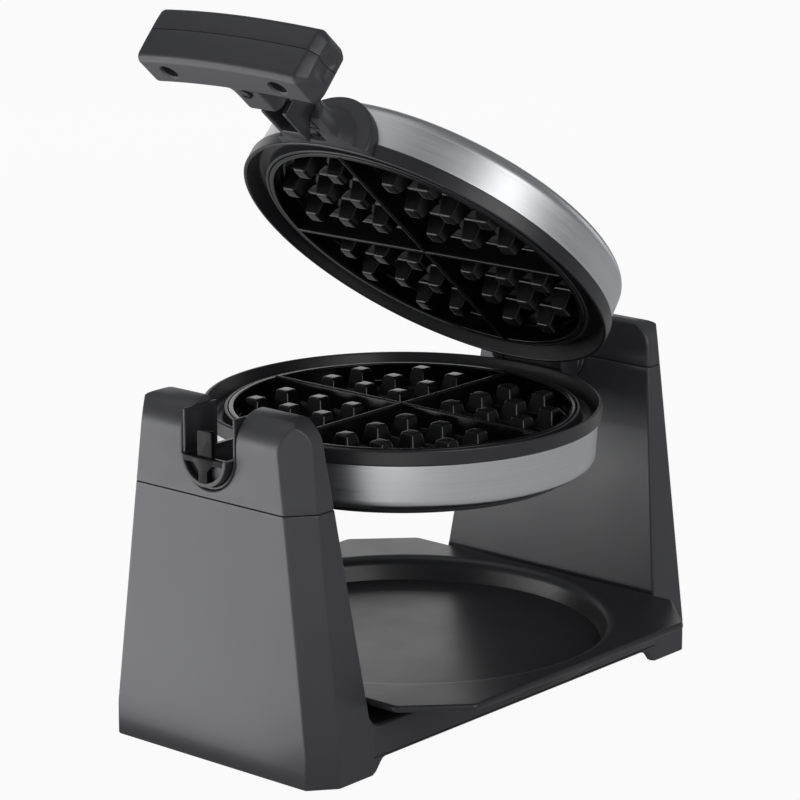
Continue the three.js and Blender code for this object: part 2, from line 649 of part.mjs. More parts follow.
function pegSolid(cx, cy) {
  const tip = PEG_TIP / 2;
  const base = PEG_BASE / 2;
  const ring = (half, z) => [[cx - half, cy - half, z], [cx + half, cy - half, z],
    [cx + half, cy + half, z], [cx - half, cy + half, z]];
  return lofted([ring(tip, PEG_TOP), ring(base, PEG_TOP + PEG_HEIGHT + ROOT_SINK)]);
}

function plateSolid() {
  const inside = PLATE_RADIUS - PLATE_WALL;
  const face = PEG_TOP + PEG_HEIGHT;
  const pan = turned([[0, face], [inside, face], [inside, PLATE_WALL_TOP],
    [PLATE_RADIUS, PLATE_WALL_TOP], [PLATE_RADIUS, CAST_BACK], [0, CAST_BACK]]);
  const cylinder = rod('z', inside + PLATE_WALL / 2, PEG_TOP, face + ROOT_SINK, 0, 0, ROUND_SEGMENTS);
  const raised = [];
  for (let i = 0; i < PEG_ROWS; i += 1) {
    for (let j = 0; j < PEG_ROWS; j += 1) {
      const x = PEG_FIRST + i * PEG_PITCH;
      const y = PEG_FIRST + j * PEG_PITCH;
      if (Math.hypot(x - PEG_TIP / 2, y - PEG_TIP / 2) < PEG_REACH - PEG_TIP) {
        for (const sx of [-1, 1]) for (const sy of [-1, 1]) raised.push(pegSolid(sx * x, sy * y));
      }
    }
  }
  const ridge = [[-DIVIDER_TIP / 2, PEG_TOP], [DIVIDER_TIP / 2, PEG_TOP],
    [DIVIDER_BASE / 2, face + ROOT_SINK], [-DIVIDER_BASE / 2, face + ROOT_SINK]];
  raised.push(prism(ridge, 'x', -PLATE_RADIUS, PLATE_RADIUS));
  raised.push(prism(ridge, 'y', -PLATE_RADIUS, PLATE_RADIUS));
  return join(pan, common(join(...raised), cylinder));
}

function heaterSolid() {
  const path = new THREE.CatmullRomCurve3(
    arc(0, 0, HEATER_RADIUS, HEATER_GAP_ANGLE, 2 * Math.PI - HEATER_GAP_ANGLE, ROUND_SEGMENTS / 2)
      .map(([x, y]) => new THREE.Vector3(x, y, 0)));
  const section = new THREE.Shape(arc(0, 0, HEATER_TUBE, 0, 2 * Math.PI, CURVE_STEPS + 1)
    .slice(0, -1).map(([u, v]) => new THREE.Vector2(u, v)));
  const geometry = new THREE.ExtrudeGeometry(section,
    { steps: ROUND_SEGMENTS / 2, bevelEnabled: false, extrudePath: path });
  geometry.translate(0, 0, CAST_BACK + FIT_GAP + HEATER_TUBE);
  return toSolid(geometry);
}

const SHIELD_FROM = CAST_BACK + 2 * FIT_GAP + 2 * HEATER_TUBE;
function shieldSolid() {
  return rod('z', SHIELD_RADIUS, SHIELD_FROM, SHIELD_FROM + SHIELD_SHEET, 0, 0, ROUND_SEGMENTS);
}
function thermostatSolid() {
  const from = SHIELD_FROM + SHIELD_SHEET + FIT_GAP;
  return block(THERMOSTAT_OUT - THERMOSTAT_LENGTH / 2, THERMOSTAT_OUT + THERMOSTAT_LENGTH / 2,
    -THERMOSTAT_WIDTH / 2, THERMOSTAT_WIDTH / 2, from, from + THERMOSTAT_HEIGHT);
}

// Lower iron: its like pieces are the drawn half turned over
function buildLower(group) {
  const half = new THREE.Group();
  half.rotation.x = Math.PI;
  group.add(half);
  add(half, 'lower_rim', rimSolid(), rimBlack);
  add(half, 'lower_steel_cover', coverSolid(false), brushedSteel);
  add(half, 'lower_waffle_plate', plateSolid(), nonStick);
  add(half, 'lower_heater', heaterSolid(), heaterGrey);
  add(half, 'lower_heat_shield', shieldSolid(), springSteel);
  add(half, 'lower_thermostat', thermostatSolid(), blockWhite);
  const capTop = COVER_BACK + FIT_GAP;
  const capRadius = COVER_RADIUS - COVER_TAPER - COVER_ROUND - COVER_LIP + CAP_OVERLAP;
  add(half, 'lower_bottom_cap', turned([[0, capTop], [capRadius, capTop],
    [capRadius - CAP_EDGE, capTop + CAP_THICK], [0, capTop + CAP_THICK]]), rimBlack);

  // Collar: a half pipe with a ribbed end and a locating tab
  const rimClear = rod('z', RIM_RADIUS + FIT_GAP, -COVER_BACK - OVERRUN, OVERRUN, 0, 0, ROUND_SEGMENTS);
  const inside = COLLAR_RADIUS - COLLAR_WALL;
  const lowerHalf = block(-COLLAR_END, 0, -COLLAR_RADIUS, COLLAR_RADIUS, -COLLAR_RADIUS, -PARTING);
  const pipe = common(cut(rod('x', COLLAR_RADIUS, -COLLAR_END, -RIM_RADIUS / 2, 0, 0),
    rod('x', inside, -COLLAR_END - OVERRUN, 0, 0, 0)), lowerHalf);
  const hubFrom = -COLLAR_END;
  const hubTo = hubFrom + HUB_LENGTH;
  const reach = inside + COLLAR_WALL / 2;
  const hub = common(rod('x', reach, hubFrom, hubTo, 0, 0), lowerHalf);
  const ribs = join(
    block(hubFrom, hubTo, -HUB_RIB / 2, HUB_RIB / 2, -reach, -PARTING),
    block(hubFrom, hubTo, -reach, reach, -PARTING - HUB_WEB, -PARTING));
  const tab = block(hubTo - TAB_THICK, hubTo, -TAB_WIDTH / 2, TAB_WIDTH / 2, -PARTING - HUB_WEB, TAB_RISE);
  add(group, 'lower_collar', join(cut(pipe, rimClear), common(ribs, hub), tab), rimBlack);

  // Yoke: block behind the rim with two ears for the pin, and the face that carries the shaft
  const yokeFace = RIM_RADIUS + RUN_GAP;
  const yokeBack = yokeFace + YOKE_DEPTH;
  const body = block(yokeFace, yokeBack, -EAR_OUTER, EAR_OUTER, -YOKE_BELOW, YOKE_ABOVE);
  const ears = [[-EAR_OUTER, -EAR_INNER], [EAR_INNER, EAR_OUTER]].map(([y0, y1]) => join(
    rod('y', KNUCKLE_RADIUS, y0, y1, HINGE_OUT, HINGE_RAISE),
    block(HINGE_OUT, HINGE_OUT + EAR_THICK, y0, y1, 0, HINGE_RAISE)));
  const pinHole = rod('y', PIN_RADIUS + FIT_GAP, -2 * EAR_OUTER, 2 * EAR_OUTER, HINGE_OUT, HINGE_RAISE);
  const leadHole = rod('x', SHAFT_BORE_RADIUS, yokeFace + OVERRUN, yokeBack + OVERRUN, 0, 0);
  const screwHoles = [-1, 1].map((side) => rod('x', SCREW_RADIUS + FIT_GAP, yokeBack - SCREW_LENGTH,
    yokeBack + OVERRUN, side * YOKE_SCREW_SPREAD, 0, SMALL_SEGMENTS));
  add(group, 'hinge_yoke', cut(join(body, ...ears), pinHole, leadHole, ...screwHoles), rimBlack);
  add(group, 'hinge_pin', rod('y', PIN_RADIUS, -EAR_OUTER - FIT_GAP, EAR_OUTER + FIT_GAP,
    HINGE_OUT, HINGE_RAISE), springSteel);

  // Hollow shaft with a lugged flange, its screws and the retaining ring
  const flangeFrom = yokeBack + FIT_GAP;
  const flangeTo = flangeFrom + SHAFT_FLANGE;
  const shaftTo = SHAFT_END - IRON_OFFSET;
  const lugReach = YOKE_SCREW_SPREAD + SCREW_HEAD_RADIUS;
  const flange = join(rod('x', SHAFT_FLANGE_RADIUS, flangeFrom, flangeTo, 0, 0),
    block(flangeFrom, flangeTo, -lugReach, lugReach, -SCREW_HEAD_RADIUS, SCREW_HEAD_RADIUS));
  const flangeHoles = [-1, 1].map((side) => rod('x', SCREW_RADIUS + FIT_GAP, flangeFrom - OVERRUN,
    flangeTo + OVERRUN, side * YOKE_SCREW_SPREAD, 0, SMALL_SEGMENTS));
  add(group, 'turning_shaft', cut(join(flange, rod('x', SHAFT_RADIUS, flangeFrom, shaftTo, 0, 0)),
    rod('x', SHAFT_BORE_RADIUS, flangeFrom - OVERRUN, shaftTo + OVERRUN, 0, 0), ...flangeHoles),
  springSteel);
  const seat = flangeTo + FIT_GAP;
  [-1, 1].forEach((side, i) => {
    const y = side * YOKE_SCREW_SPREAD;
    add(group, `shaft_screw_${i + 1}`, join(
      rod('x', SCREW_HEAD_RADIUS, seat, seat + SCREW_HEAD, y, 0, SMALL_SEGMENTS),
      rod('x', SCREW_RADIUS, seat - SCREW_LENGTH, seat + SCREW_HEAD, y, 0, SMALL_SEGMENTS)),
    springSteel);
  });
  const ringFrom = BUSH_TO - IRON_OFFSET + RUN_GAP;
  add(group, 'shaft_retainer', cut(
    rod('x', RETAINER_RADIUS, ringFrom, ringFrom + RETAINER_LENGTH, 0, 0),
    rod('x', SHAFT_RADIUS + FIT_GAP, ringFrom - OVERRUN, ringFrom + RETAINER_LENGTH + OVERRUN, 0, 0)),
  springSteel);
  group.position.set(IRON_OFFSET, 0, AXIS_HEIGHT);
}

// A full round about the turning axis of the closed iron, which lies the meeting gap below the
// lid's own plane, from [distance towards the handle, radius] points
function neckRound(points) {
  const geometry = new THREE.LatheGeometry(
    points.map(([out, radius]) => new THREE.Vector2(radius, out)), NECK_SEGMENTS);
  geometry.rotateZ(Math.PI / 2);
  geometry.translate(0, 0, -MEETING_GAP);
  return toSolid(geometry);
}

function gripSection(shift, inset) {
  const halfX = GRIP_THICK / 2 - inset - GRIP_CORNER;
  const halfZ = GRIP_TALL / 2 - inset - GRIP_CORNER;
  const centres = [[halfX, halfZ], [-halfX, halfZ], [-halfX, -halfZ], [halfX, -halfZ]];
  const points = centres.flatMap(([x, z], turn) =>
    arc(x, z, GRIP_CORNER, turn * Math.PI / 2, (turn + 1) * Math.PI / 2, 2));
  return points.map(([x, z]) => [x - GRIP_OUT - shift, z + GRIP_RAISE]);
}

const gripShift = (y) => GRIP_ARCH * (1 - (2 * y / GRIP_LENGTH) ** 2);
function gripBar(inset) {
  const rings = [];
  for (let i = 0; i <= GRIP_STATIONS; i += 1) {
    const y = (2 * i / GRIP_STATIONS - 1) * (GRIP_LENGTH / 2 - inset);
    rings.push(gripSection(gripShift(y), inset).map(([x, z]) => [x, y, z]));
  }
  return lofted(rings);
}

// Lid: drawn closed, then opened about the pin
function buildLid(group) {
  const pinHeight = HINGE_RAISE - MEETING_GAP;
  const notchFloor = HINGE_OUT - NOTCH_DEPTH;
  const notch = block(notchFloor, RIM_RADIUS + OVERRUN, -NOTCH_HALF, NOTCH_HALF, RIM_BAND, NOTCH_TOP);
  const pinSwing = rod('y', KNUCKLE_RADIUS + RUN_GAP, -NOTCH_HALF, NOTCH_HALF, HINGE_OUT, pinHeight);
  add(group, 'lid_rim', cut(rimSolid(), pinSwing), rimBlack);
  const lampHoles = [-1, 1].map((side) => rod('z', LAMP_RADIUS + FIT_GAP, COVER_BACK - COVER_ROUND,
    COVER_BACK + OVERRUN, -LAMP_OUT, LAMP_MIDDLE + side * LAMP_SPREAD, SMALL_SEGMENTS));
  add(group, 'lid_steel_cover', cut(coverSolid(true), notch, ...lampHoles), brushedSteel);
  add(group, 'lid_waffle_plate', plateSolid(), nonStick);
  add(group, 'lid_heater', heaterSolid(), heaterGrey);
  add(group, 'lid_heat_shield', shieldSolid(), springSteel);
  add(group, 'lid_thermostat', thermostatSolid(), blockWhite);

  // Hinge bracket: a plate that closes the notch, with a knuckle between the ears
  const knuckleHalf = EAR_INNER - RUN_GAP;
  const plateFrom = notchFloor + FIT_GAP;
  const plateBottom = GUTTER_BACK + FIT_GAP;
  const bracket = join(
    block(plateFrom, plateFrom + BRACKET_PLATE, -NOTCH_HALF + FIT_GAP, NOTCH_HALF - FIT_GAP,
      plateBottom, NOTCH_TOP - FIT_GAP),
    block(plateFrom, HINGE_OUT, -knuckleHalf, knuckleHalf, plateBottom, pinHeight + KNUCKLE_RADIUS),
    rod('y', KNUCKLE_RADIUS, -knuckleHalf, knuckleHalf, HINGE_OUT, pinHeight));
  const earRoom = [[-NOTCH_HALF, -knuckleHalf], [knuckleHalf, NOTCH_HALF]].map(([y0, y1]) =>
    rod('y', KNUCKLE_RADIUS + RUN_GAP, y0, y1, HINGE_OUT, pinHeight));
  add(group, 'lid_hinge_bracket', cut(bracket, ...earRoom,
    rod('y', PIN_RADIUS + FIT_GAP, -NOTCH_HALF, NOTCH_HALF, HINGE_OUT, pinHeight)), rimBlack);

  // Neck: a flared half drum against the cover, flat towards the lower iron
  const stemHalf = STEM_WIDTH / 2;
  const stemTop = STEM_TALL / 2;
  const flare = arc(FLARE_END, FLANGE_RADIUS, FLANGE_RADIUS - NECK_RADIUS, -Math.PI, -Math.PI / 2,
    FLARE_STEPS).map(([out, radius]) => [Math.max(out, FLANGE_FACE), radius]);
  const neckShape = neckRound([[RIM_RADIUS / 2, 0], [RIM_RADIUS / 2, FLANGE_RADIUS],
    ...flare, [NECK_END, NECK_RADIUS], [NECK_END, 0]]);
  const upper = block(-NECK_END - OVERRUN, 0, -FLANGE_RADIUS, FLANGE_RADIUS, PARTING, FLANGE_RADIUS);
  const ironClear = join(
    rod('z', RIM_RADIUS + FIT_GAP, -OVERRUN, RIM_BAND + FIT_GAP, 0, 0, ROUND_SEGMENTS),
    rod('z', COVER_RADIUS + FIT_GAP, 0, COVER_BACK + OVERRUN, 0, 0, ROUND_SEGMENTS));
  const stemPocket = block(-NECK_END - OVERRUN, -STEM_START + FIT_GAP, -stemHalf - FIT_GAP,
    stemHalf + FIT_GAP, -OVERRUN, stemTop + FIT_GAP);
  const recessFrom = -(RIM_RADIUS + OVERRUN);
  const recess = block(recessFrom - NECK_RECESS_LENGTH, recessFrom, -NECK_RECESS_WIDTH / 2,
    NECK_RECESS_WIDTH / 2, -OVERRUN, PARTING + NECK_RECESS_DEPTH);
  const neckScrewX = recessFrom - NECK_RECESS_LENGTH / 2;
  const neckHole = rod('z', SCREW_RADIUS + FIT_GAP, -OVERRUN, PARTING + SCREW_LENGTH, neckScrewX, 0,
    SMALL_SEGMENTS);
  add(group, 'lid_neck',
    cut(common(neckShape, upper), ironClear, stemPocket, recess, neckHole), rimBlack);
  const screwSeat = PARTING + NECK_RECESS_DEPTH - FIT_GAP;
  add(group, 'neck_screw', join(
    rod('z', SCREW_HEAD_RADIUS, screwSeat - SCREW_HEAD, screwSeat, neckScrewX, 0, SMALL_SEGMENTS),
    rod('z', SCREW_RADIUS, screwSeat - SCREW_HEAD, screwSeat + SCREW_LENGTH / 2, neckScrewX, 0,
      SMALL_SEGMENTS)), springSteel);

  // Stem: a channel open downwards, with a window that the locating tab enters
  const sideView = [[-STEM_START, stemTop], [-STEM_END, stemTop], [-STEM_END, -stemTop],
    [-STEM_START - FIT_GAP, -stemTop], [-STEM_START - STEM_SLANT, PARTING], [-STEM_START, PARTING]];
  const channelHalf = stemHalf - STEM_WALL;
  const channel = block(-STEM_END + STEM_WALL, -STEM_START - STEM_SLANT, -channelHalf, channelHalf,
    -stemTop - OVERRUN, stemTop - STEM_WALL);
  const window = block(-SOCKET_FROM, -WINDOW_FROM, -channelHalf, channelHalf, 0, stemTop + OVERRUN);
  const underWindow = block(-SOCKET_FROM, -WINDOW_FROM, -STEM_WIDTH, STEM_WIDTH,
    -stemTop - OVERRUN, PARTING);
  const stemBoss = cut(rod('z', BOSS_RADIUS, -stemTop, stemTop - STEM_WALL / 2, -SOCKET_SCREW_OUT, 0,
    SMALL_SEGMENTS), rod('z', SCREW_RADIUS + FIT_GAP, -stemTop - OVERRUN, stemTop - STEM_WALL,
    -SOCKET_SCREW_OUT, 0, SMALL_SEGMENTS));
  add(group, 'handle_stem', join(cut(prism(sideView, 'y', -stemHalf, stemHalf), channel, window,
    underWindow), stemBoss), rimBlack);

  // Grip: an arched bar and the socket round the stem, split into two shells
  const socketHalf = stemHalf + FIT_GAP + SOCKET_WALL;
  const socketTop = stemTop + FIT_GAP + SOCKET_WALL;
  const socket = block(-GRIP_OUT, -SOCKET_FROM, -socketHalf, socketHalf, -socketTop, socketTop);
  const stemRoom = block(-STEM_END - FIT_GAP, -SOCKET_FROM + OVERRUN, -stemHalf - FIT_GAP,
    stemHalf + FIT_GAP, -stemTop - FIT_GAP, stemTop + FIT_GAP);
  const gripBottom = GRIP_RAISE - GRIP_TALL / 2;
  const gripTop = GRIP_RAISE + GRIP_TALL / 2;
  const far = GRIP_OUT + GRIP_TALL;
  const spots = [-GRIP_SCREW_SPREAD, GRIP_SCREW_SPREAD].map((y) => [-GRIP_OUT - gripShift(y), y]);
  const posts = spots.map(([x, y]) => rod('z', BOSS_RADIUS, gripBottom + GRIP_WALL / 2,
    gripTop - GRIP_WALL / 2, x, y, SMALL_SEGMENTS));
  const filled = join(cut(join(gripBar(0), socket), gripBar(GRIP_WALL)), ...posts);
  const seat = GRIP_PARTING - GRIP_SCREW_SEAT;
  const bore = (radius, z0, z1, x, y) => rod('z', radius, z0, z1, x, y, SMALL_SEGMENTS);
  const holeRadius = SCREW_RADIUS + FIT_GAP;
  const holeTop = gripTop - 2 * GRIP_WALL;
  const near = -SOCKET_FROM + OVERRUN;
  const lowerSpace = block(-far, near, -GRIP_LENGTH, GRIP_LENGTH, -GRIP_TALL, GRIP_PARTING - FIT_GAP / 2);
  const upperSpace = block(-far, near, -GRIP_LENGTH, GRIP_LENGTH, GRIP_PARTING + FIT_GAP / 2, GRIP_TALL);
  add(group, 'grip_lower_shell', cut(common(filled, lowerSpace), stemRoom,
    bore(holeRadius, gripBottom - OVERRUN, 0, -SOCKET_SCREW_OUT, 0),
    ...spots.map(([x, y]) => bore(GRIP_HOLE_RADIUS, gripBottom - OVERRUN, seat, x, y)),
    ...spots.map(([x, y]) => bore(holeRadius, gripBottom - OVERRUN, holeTop, x, y))), gripBlack);
  add(group, 'grip_upper_shell', cut(common(filled, upperSpace), stemRoom,
    ...spots.map(([x, y]) => bore(holeRadius, 0, holeTop, x, y))), gripBlack);
  spots.forEach(([x, y], i) => {
    const top = seat - FIT_GAP;
    add(group, `grip_screw_${i + 1}`, join(
      bore(SCREW_HEAD_RADIUS - FIT_GAP, top - SCREW_HEAD, top, x, y),
      bore(SCREW_RADIUS, top - SCREW_HEAD, top + SCREW_LENGTH, x, y)), springSteel);
  });
  const socketSeat = -socketTop - FIT_GAP;
  add(group, 'socket_screw', join(
    bore(SCREW_HEAD_RADIUS, socketSeat - SCREW_HEAD, socketSeat, -SOCKET_SCREW_OUT, 0),
    bore(SCREW_RADIUS, socketSeat - SCREW_HEAD, socketSeat + SCREW_LENGTH, -SOCKET_SCREW_OUT, 0)),
  springSteel);

  // Indicator lamps by the neck
  const lampRise = LID_CROWN * (1 - LAMP_OUT / (COVER_RADIUS - COVER_TAPER - COVER_ROUND));
  const lampFace = COVER_BACK + lampRise + LAMP_PROUD;
  [['lamp_power', -1, lampAmber], ['lamp_ready', 1, lampGreen]].forEach(([name, side, colour]) => {
    add(group, name, rod('z', LAMP_RADIUS, lampFace - LAMP_STEM, lampFace, -LAMP_OUT,
      LAMP_MIDDLE + side * LAMP_SPREAD, SMALL_SEGMENTS), colour);
  });
  group.position.set(-HINGE_OUT, 0, MEETING_GAP - HINGE_RAISE);
}

const stand = new THREE.Group();
const tray = new THREE.Group();
const lowerIron = new THREE.Group();
const lid = new THREE.Group();
buildStand(stand);
buildTray(tray);
buildLower(lowerIron);
buildLid(lid);

const lidPivot = new THREE.Group();
lidPivot.position.set(IRON_OFFSET + HINGE_OUT, 0, AXIS_HEIGHT + HINGE_RAISE);
lidPivot.rotation.y = THREE.MathUtils.degToRad(LID_OPEN);
lidPivot.add(lid);
model.add(stand, tray, lowerIron, lidPivot);

// The collar stands out past the left tower, so the whole is moved to centre its length
model.position.x = (COLLAR_END - IRON_OFFSET - HALF_LENGTH) / 2;

export default model;
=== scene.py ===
import math

import bmesh
import bpy
from mathutils import Matrix, Vector


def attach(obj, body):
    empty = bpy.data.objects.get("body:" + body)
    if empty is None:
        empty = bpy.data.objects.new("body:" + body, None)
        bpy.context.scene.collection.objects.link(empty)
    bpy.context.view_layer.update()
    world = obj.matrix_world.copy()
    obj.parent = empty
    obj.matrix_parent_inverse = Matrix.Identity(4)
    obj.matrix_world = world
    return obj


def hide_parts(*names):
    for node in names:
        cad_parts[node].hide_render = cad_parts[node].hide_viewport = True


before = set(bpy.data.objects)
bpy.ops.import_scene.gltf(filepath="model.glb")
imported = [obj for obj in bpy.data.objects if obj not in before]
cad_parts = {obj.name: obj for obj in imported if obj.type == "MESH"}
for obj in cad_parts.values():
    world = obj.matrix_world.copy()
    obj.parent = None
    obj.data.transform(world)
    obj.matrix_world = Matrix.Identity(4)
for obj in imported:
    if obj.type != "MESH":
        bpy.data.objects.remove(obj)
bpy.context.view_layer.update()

scene = bpy.context.scene
scene.view_settings.view_transform = "Standard"

# Camera
# It stands front left of the waffle maker, a little above the open lid, with a long lens.
camera_body = bpy.data.cameras.new("camera")
camera_body.lens = 158.8
camera_body.sensor_width = 36
camera = bpy.data.objects.new("camera", camera_body)
camera.location = (-1.36765, -1.167, 0.6235)
sight = Vector((-0.00747, 0.00003, 0.1606)) - camera.location
camera.rotation_euler = sight.to_track_quat("-Z", "Y").to_euler()
scene.collection.objects.link(camera)
scene.camera = camera


# Studio
# A pale floor that keeps a soft shadow and a white surround. Bright boards on the floor and a long
# low strip light the tower faces from the left, a low one behind shines on level tops, and weak
# ones fill the front and right.
def fill(tree, node, inputs):
    """Sets a node's inputs, each to a value or linked from a socket."""
    for key, value in inputs.items():
        if isinstance(value, bpy.types.NodeSocket):
            tree.links.new(value, node.inputs[key])
        else:
            node.inputs[key].default_value = value
    return node


def add_node(tree, kind, inputs=None, **settings):
    made = tree.nodes.new(kind)
    for key, value in settings.items():
        setattr(made, key, value)
    return fill(tree, made, inputs or {})


def reckon(tree, operation, *values):
    """The outcome of one step of arithmetic on numbers or sockets."""
    return add_node(tree, "ShaderNodeMath", dict(enumerate(values)), operation=operation).outputs[0]


def seen_share(tree, seen, mirrored):
    """How far white shows: to the camera, and in what metal and gloss mirror."""
    path = add_node(tree, "ShaderNodeLightPath").outputs
    either = reckon(tree, "MAXIMUM", path["Is Glossy Ray"], path["Is Transmission Ray"])
    part = reckon(tree, "MULTIPLY", either, mirrored)
    return reckon(tree, "MULTIPLY_ADD", path["Is Camera Ray"], seen, part)


world = bpy.data.worlds.new("surround")
world.use_nodes = True
scene.world = world
air = world.node_tree
pale = fill(air, air.nodes["Background"], {"Color": (0.93, 0.96, 1.0, 1), "Strength": 0.16})
white = add_node(air, "ShaderNodeBackground", {"Color": (1, 1, 1, 1), "Strength": 1.0})
blend = add_node(air, "ShaderNodeMixShader",
                 {0: seen_share(air, 1.0, 0.06), 1: pale.outputs[0], 2: white.outputs[0]})
fill(air, air.nodes["World Output"], {"Surface": blend.outputs[0]})

floor_paint = bpy.data.materials.new("studio_floor")
floor_paint.use_nodes = True
tree = floor_paint.node_tree
paint = fill(tree, tree.nodes["Principled BSDF"], {"Base Color": (0.62, 0.62, 0.62, 1), "Roughness": 0.9})
glow = add_node(tree, "ShaderNodeEmission", {"Color": (1, 1, 1, 1), "Strength": 1.0})
blend = add_node(tree, "ShaderNodeMixShader",
                 {0: seen_share(tree, 0.95, 0.21), 1: paint.outputs[0], 2: glow.outputs[0]})
fill(tree, tree.nodes["Material Output"], {"Surface": blend.outputs[0]})
floor_mesh = bpy.data.meshes.new("floor")
floor_mesh.from_pydata([(-9, -9, 0), (9, -9, 0), (9, 9, 0), (-9, 9, 0)], [], [(0, 1, 2, 3)])
floor_mesh.materials.append(floor_paint)
floor = bpy.data.objects.new("floor", floor_mesh)
scene.collection.objects.link(floor)


def softbox(name, place, aim, width, height, radiance):
    lamp = bpy.data.lights.new(name, "AREA")
    lamp.shape = "RECTANGLE"
    lamp.size = width
    lamp.size_y = height
    lamp.energy = radiance * math.pi * width * height
    holder = bpy.data.objects.new(name, lamp)
    holder.location = place
    holder.rotation_euler = (Vector(aim) - Vector(place)).to_track_quat("-Z", "Y").to_euler()
    holder.visible_camera = False
    scene.collection.objects.link(holder)


softbox("board_left", (-0.62, 0.42, 0.004), (-0.62, 0.42, 1), 0.9, 0.9, 2.0)
softbox("board_near", (-0.62, -0.44, 0.004), (-0.62, -0.44, 1), 0.45, 0.45, 1.6)
softbox("strip_left", (-1.5, 1.15, 0.16), (0, 0, 0.1), 1.7, 0.3, 7.0)
softbox("strip_behind", (1.2, 1.5, 0.5), (0, 0, 0.1), 1.7, 0.7, 0.95)
softbox("softbox_overhead", (-0.3, 0.6, 1.7), (0, 0, 0), 1.2, 1.2, 0.5)
softbox("softbox_front", (-0.35, -1.9, 1.15), (0, 0, 0.25), 1.5, 1.2, 3.0)
softbox("strip_right", (2.0, -0.5, 0.5), (0, 0, 0.15), 0.6, 0.8, 1.2)


# Housing
# The stand is one black moulding: a low beam with an arch beneath it and two towers that lean,
# with chamfered outer corners. A skirt hides the bottom plate, and each tower ends at a seam.
IN_METRES = Matrix.Scale(0.001, 4)
STAND = IN_METRES @ Matrix.Translation((1.25, 0, 0))
TOWER_TOP = 185
HALF_LENGTH = 156
HALF_DEPTH = 76
UPRIGHT = 18
SLOPE = 20.65 / (TOWER_TOP - UPRIGHT)
TILT = math.atan(SLOPE)
SHOULDER = 15
CROWN = 17
INNER_ROUND = 2.5
CHAMFER = (13.3, 10.8)
LEFT_SEAM = 138.5
RIGHT_SEAM = 161
SEAM_GAP = 0.45
AXIS_HEIGHT = 161


def spread(start, end, count):
    return [start + (end - start) * i / (count - 1) for i in range(count)]


def filleted(corners, closed=True, steps=6, hold=0.35):
    """Corner points (u, v, radius) as one outline, with a point held just off each round."""
    outline = []
    count = len(corners)
    for i, corner in enumerate(corners):
        here = Vector(corner[:2])
        radius = corner[2] if len(corner) > 2 else 0
        if radius == 0 or (not closed and i in (0, count - 1)):
            outline.append(tuple(here))
            continue
        back = Vector(corners[i - 1][:2]) - here
        ahead = Vector(corners[(i + 1) % count][:2]) - here
        if back.length < 1e-6 or ahead.length < 1e-6:
            outline += [tuple(here)] * (steps + 3)
            continue
        half = max(back.angle(ahead) / 2, 1e-3)
        reach = min(radius / math.tan(half), 0.47 * back.length, 0.47 * ahead.length)
        radius = reach * math.tan(half)
        to_back = back.normalized()
        to_ahead = ahead.normalized()
        if (to_back + to_ahead).length < 1e-6:
            outline += [tuple(here)] * (steps + 3)
            continue
        centre = here + (to_back + to_ahead).normalized() * radius / math.sin(half)
        start = here + to_back * reach - centre
        end = here + to_ahead * reach - centre
        turn = math.atan2(start.cross(end), start.dot(end))
        outline.append(tuple(centre + start + to_back * min(hold, 0.3 * (back.length - reach))))
        for step in range(steps + 1):
            angle = turn * step / steps
            turned_point = Vector((start.x * math.cos(angle) - start.y * math.sin(angle),
                                   start.x * math.sin(angle) + start.y * math.cos(angle)))
            outline.append(tuple(centre + turned_point))
        outline.append(tuple(centre + end + to_ahead * min(hold, 0.3 * (ahead.length - reach))))
    return outline


def skin(rings, looped=False):
    """Points and faces over rings of equal count, closed at both ends or joined in a loop."""
    count = len(rings[0])
    points = [p for ring in rings for p in ring]
    faces = []
    for k in range(len(rings) if looped else len(rings) - 1):
        low = k * count
        high = (k + 1) % len(rings) * count
        for i in range(count):
            j = (i + 1) % count
            faces.append((low + i, low + j, high + j, high + i))
    if not looped:
        faces.append(tuple(range(count))[::-1])
        faces.append(tuple(range(len(points) - count, len(points))))
    return points, faces


def made_piece(name, shapes, place=IN_METRES, smooth=32):
    """One object from closed shells in millimetres, with doubles merged and faces turned out."""
    form = bmesh.new()
    for points, faces in shapes:
        mesh = bpy.data.meshes.new(name)
        mesh.from_pydata([place @ Vector(p) for p in points], [], faces)
        shell = bmesh.new()
        shell.from_mesh(mesh)
        bmesh.ops.remove_doubles(shell, verts=shell.verts, dist=1.5e-6)
        bmesh.ops.dissolve_degenerate(shell, edges=shell.edges, dist=1e-6)
        bmesh.ops.recalc_face_normals(shell, faces=shell.faces)
        if shell.calc_volume(signed=True) < 0:
            bmesh.ops.reverse_faces(shell, faces=shell.faces)
        shell.to_mesh(mesh)
        shell.free()
        form.from_mesh(mesh)
        bpy.data.meshes.remove(mesh)
    mesh = bpy.data.meshes.new(name)
    form.to_mesh(mesh)
    form.free()
    mesh.shade_smooth()
    mesh.set_sharp_from_angle(angle=math.radians(smooth))
    piece = bpy.data.objects.new(name, mesh)
    scene.collection.objects.link(piece)
    return piece


def carved(piece, tools, operation="DIFFERENCE", smooth=32):
    """The piece with each tool cut away, kept or joined, and the tools removed."""
    for tool in tools:
        change = piece.modifiers.new("change", "BOOLEAN")
        change.operation = operation
        change.solver = "MANIFOLD"
        change.object = tool
        ready = piece.evaluated_get(bpy.context.evaluated_depsgraph_get())
        mesh = bpy.data.meshes.new_from_object(ready)
        piece.modifiers.remove(change)
        piece.data = mesh
        bpy.data.objects.remove(tool)
    piece.data.shade_smooth()
    piece.data.set_sharp_from_angle(angle=math.radians(smooth))
    return piece


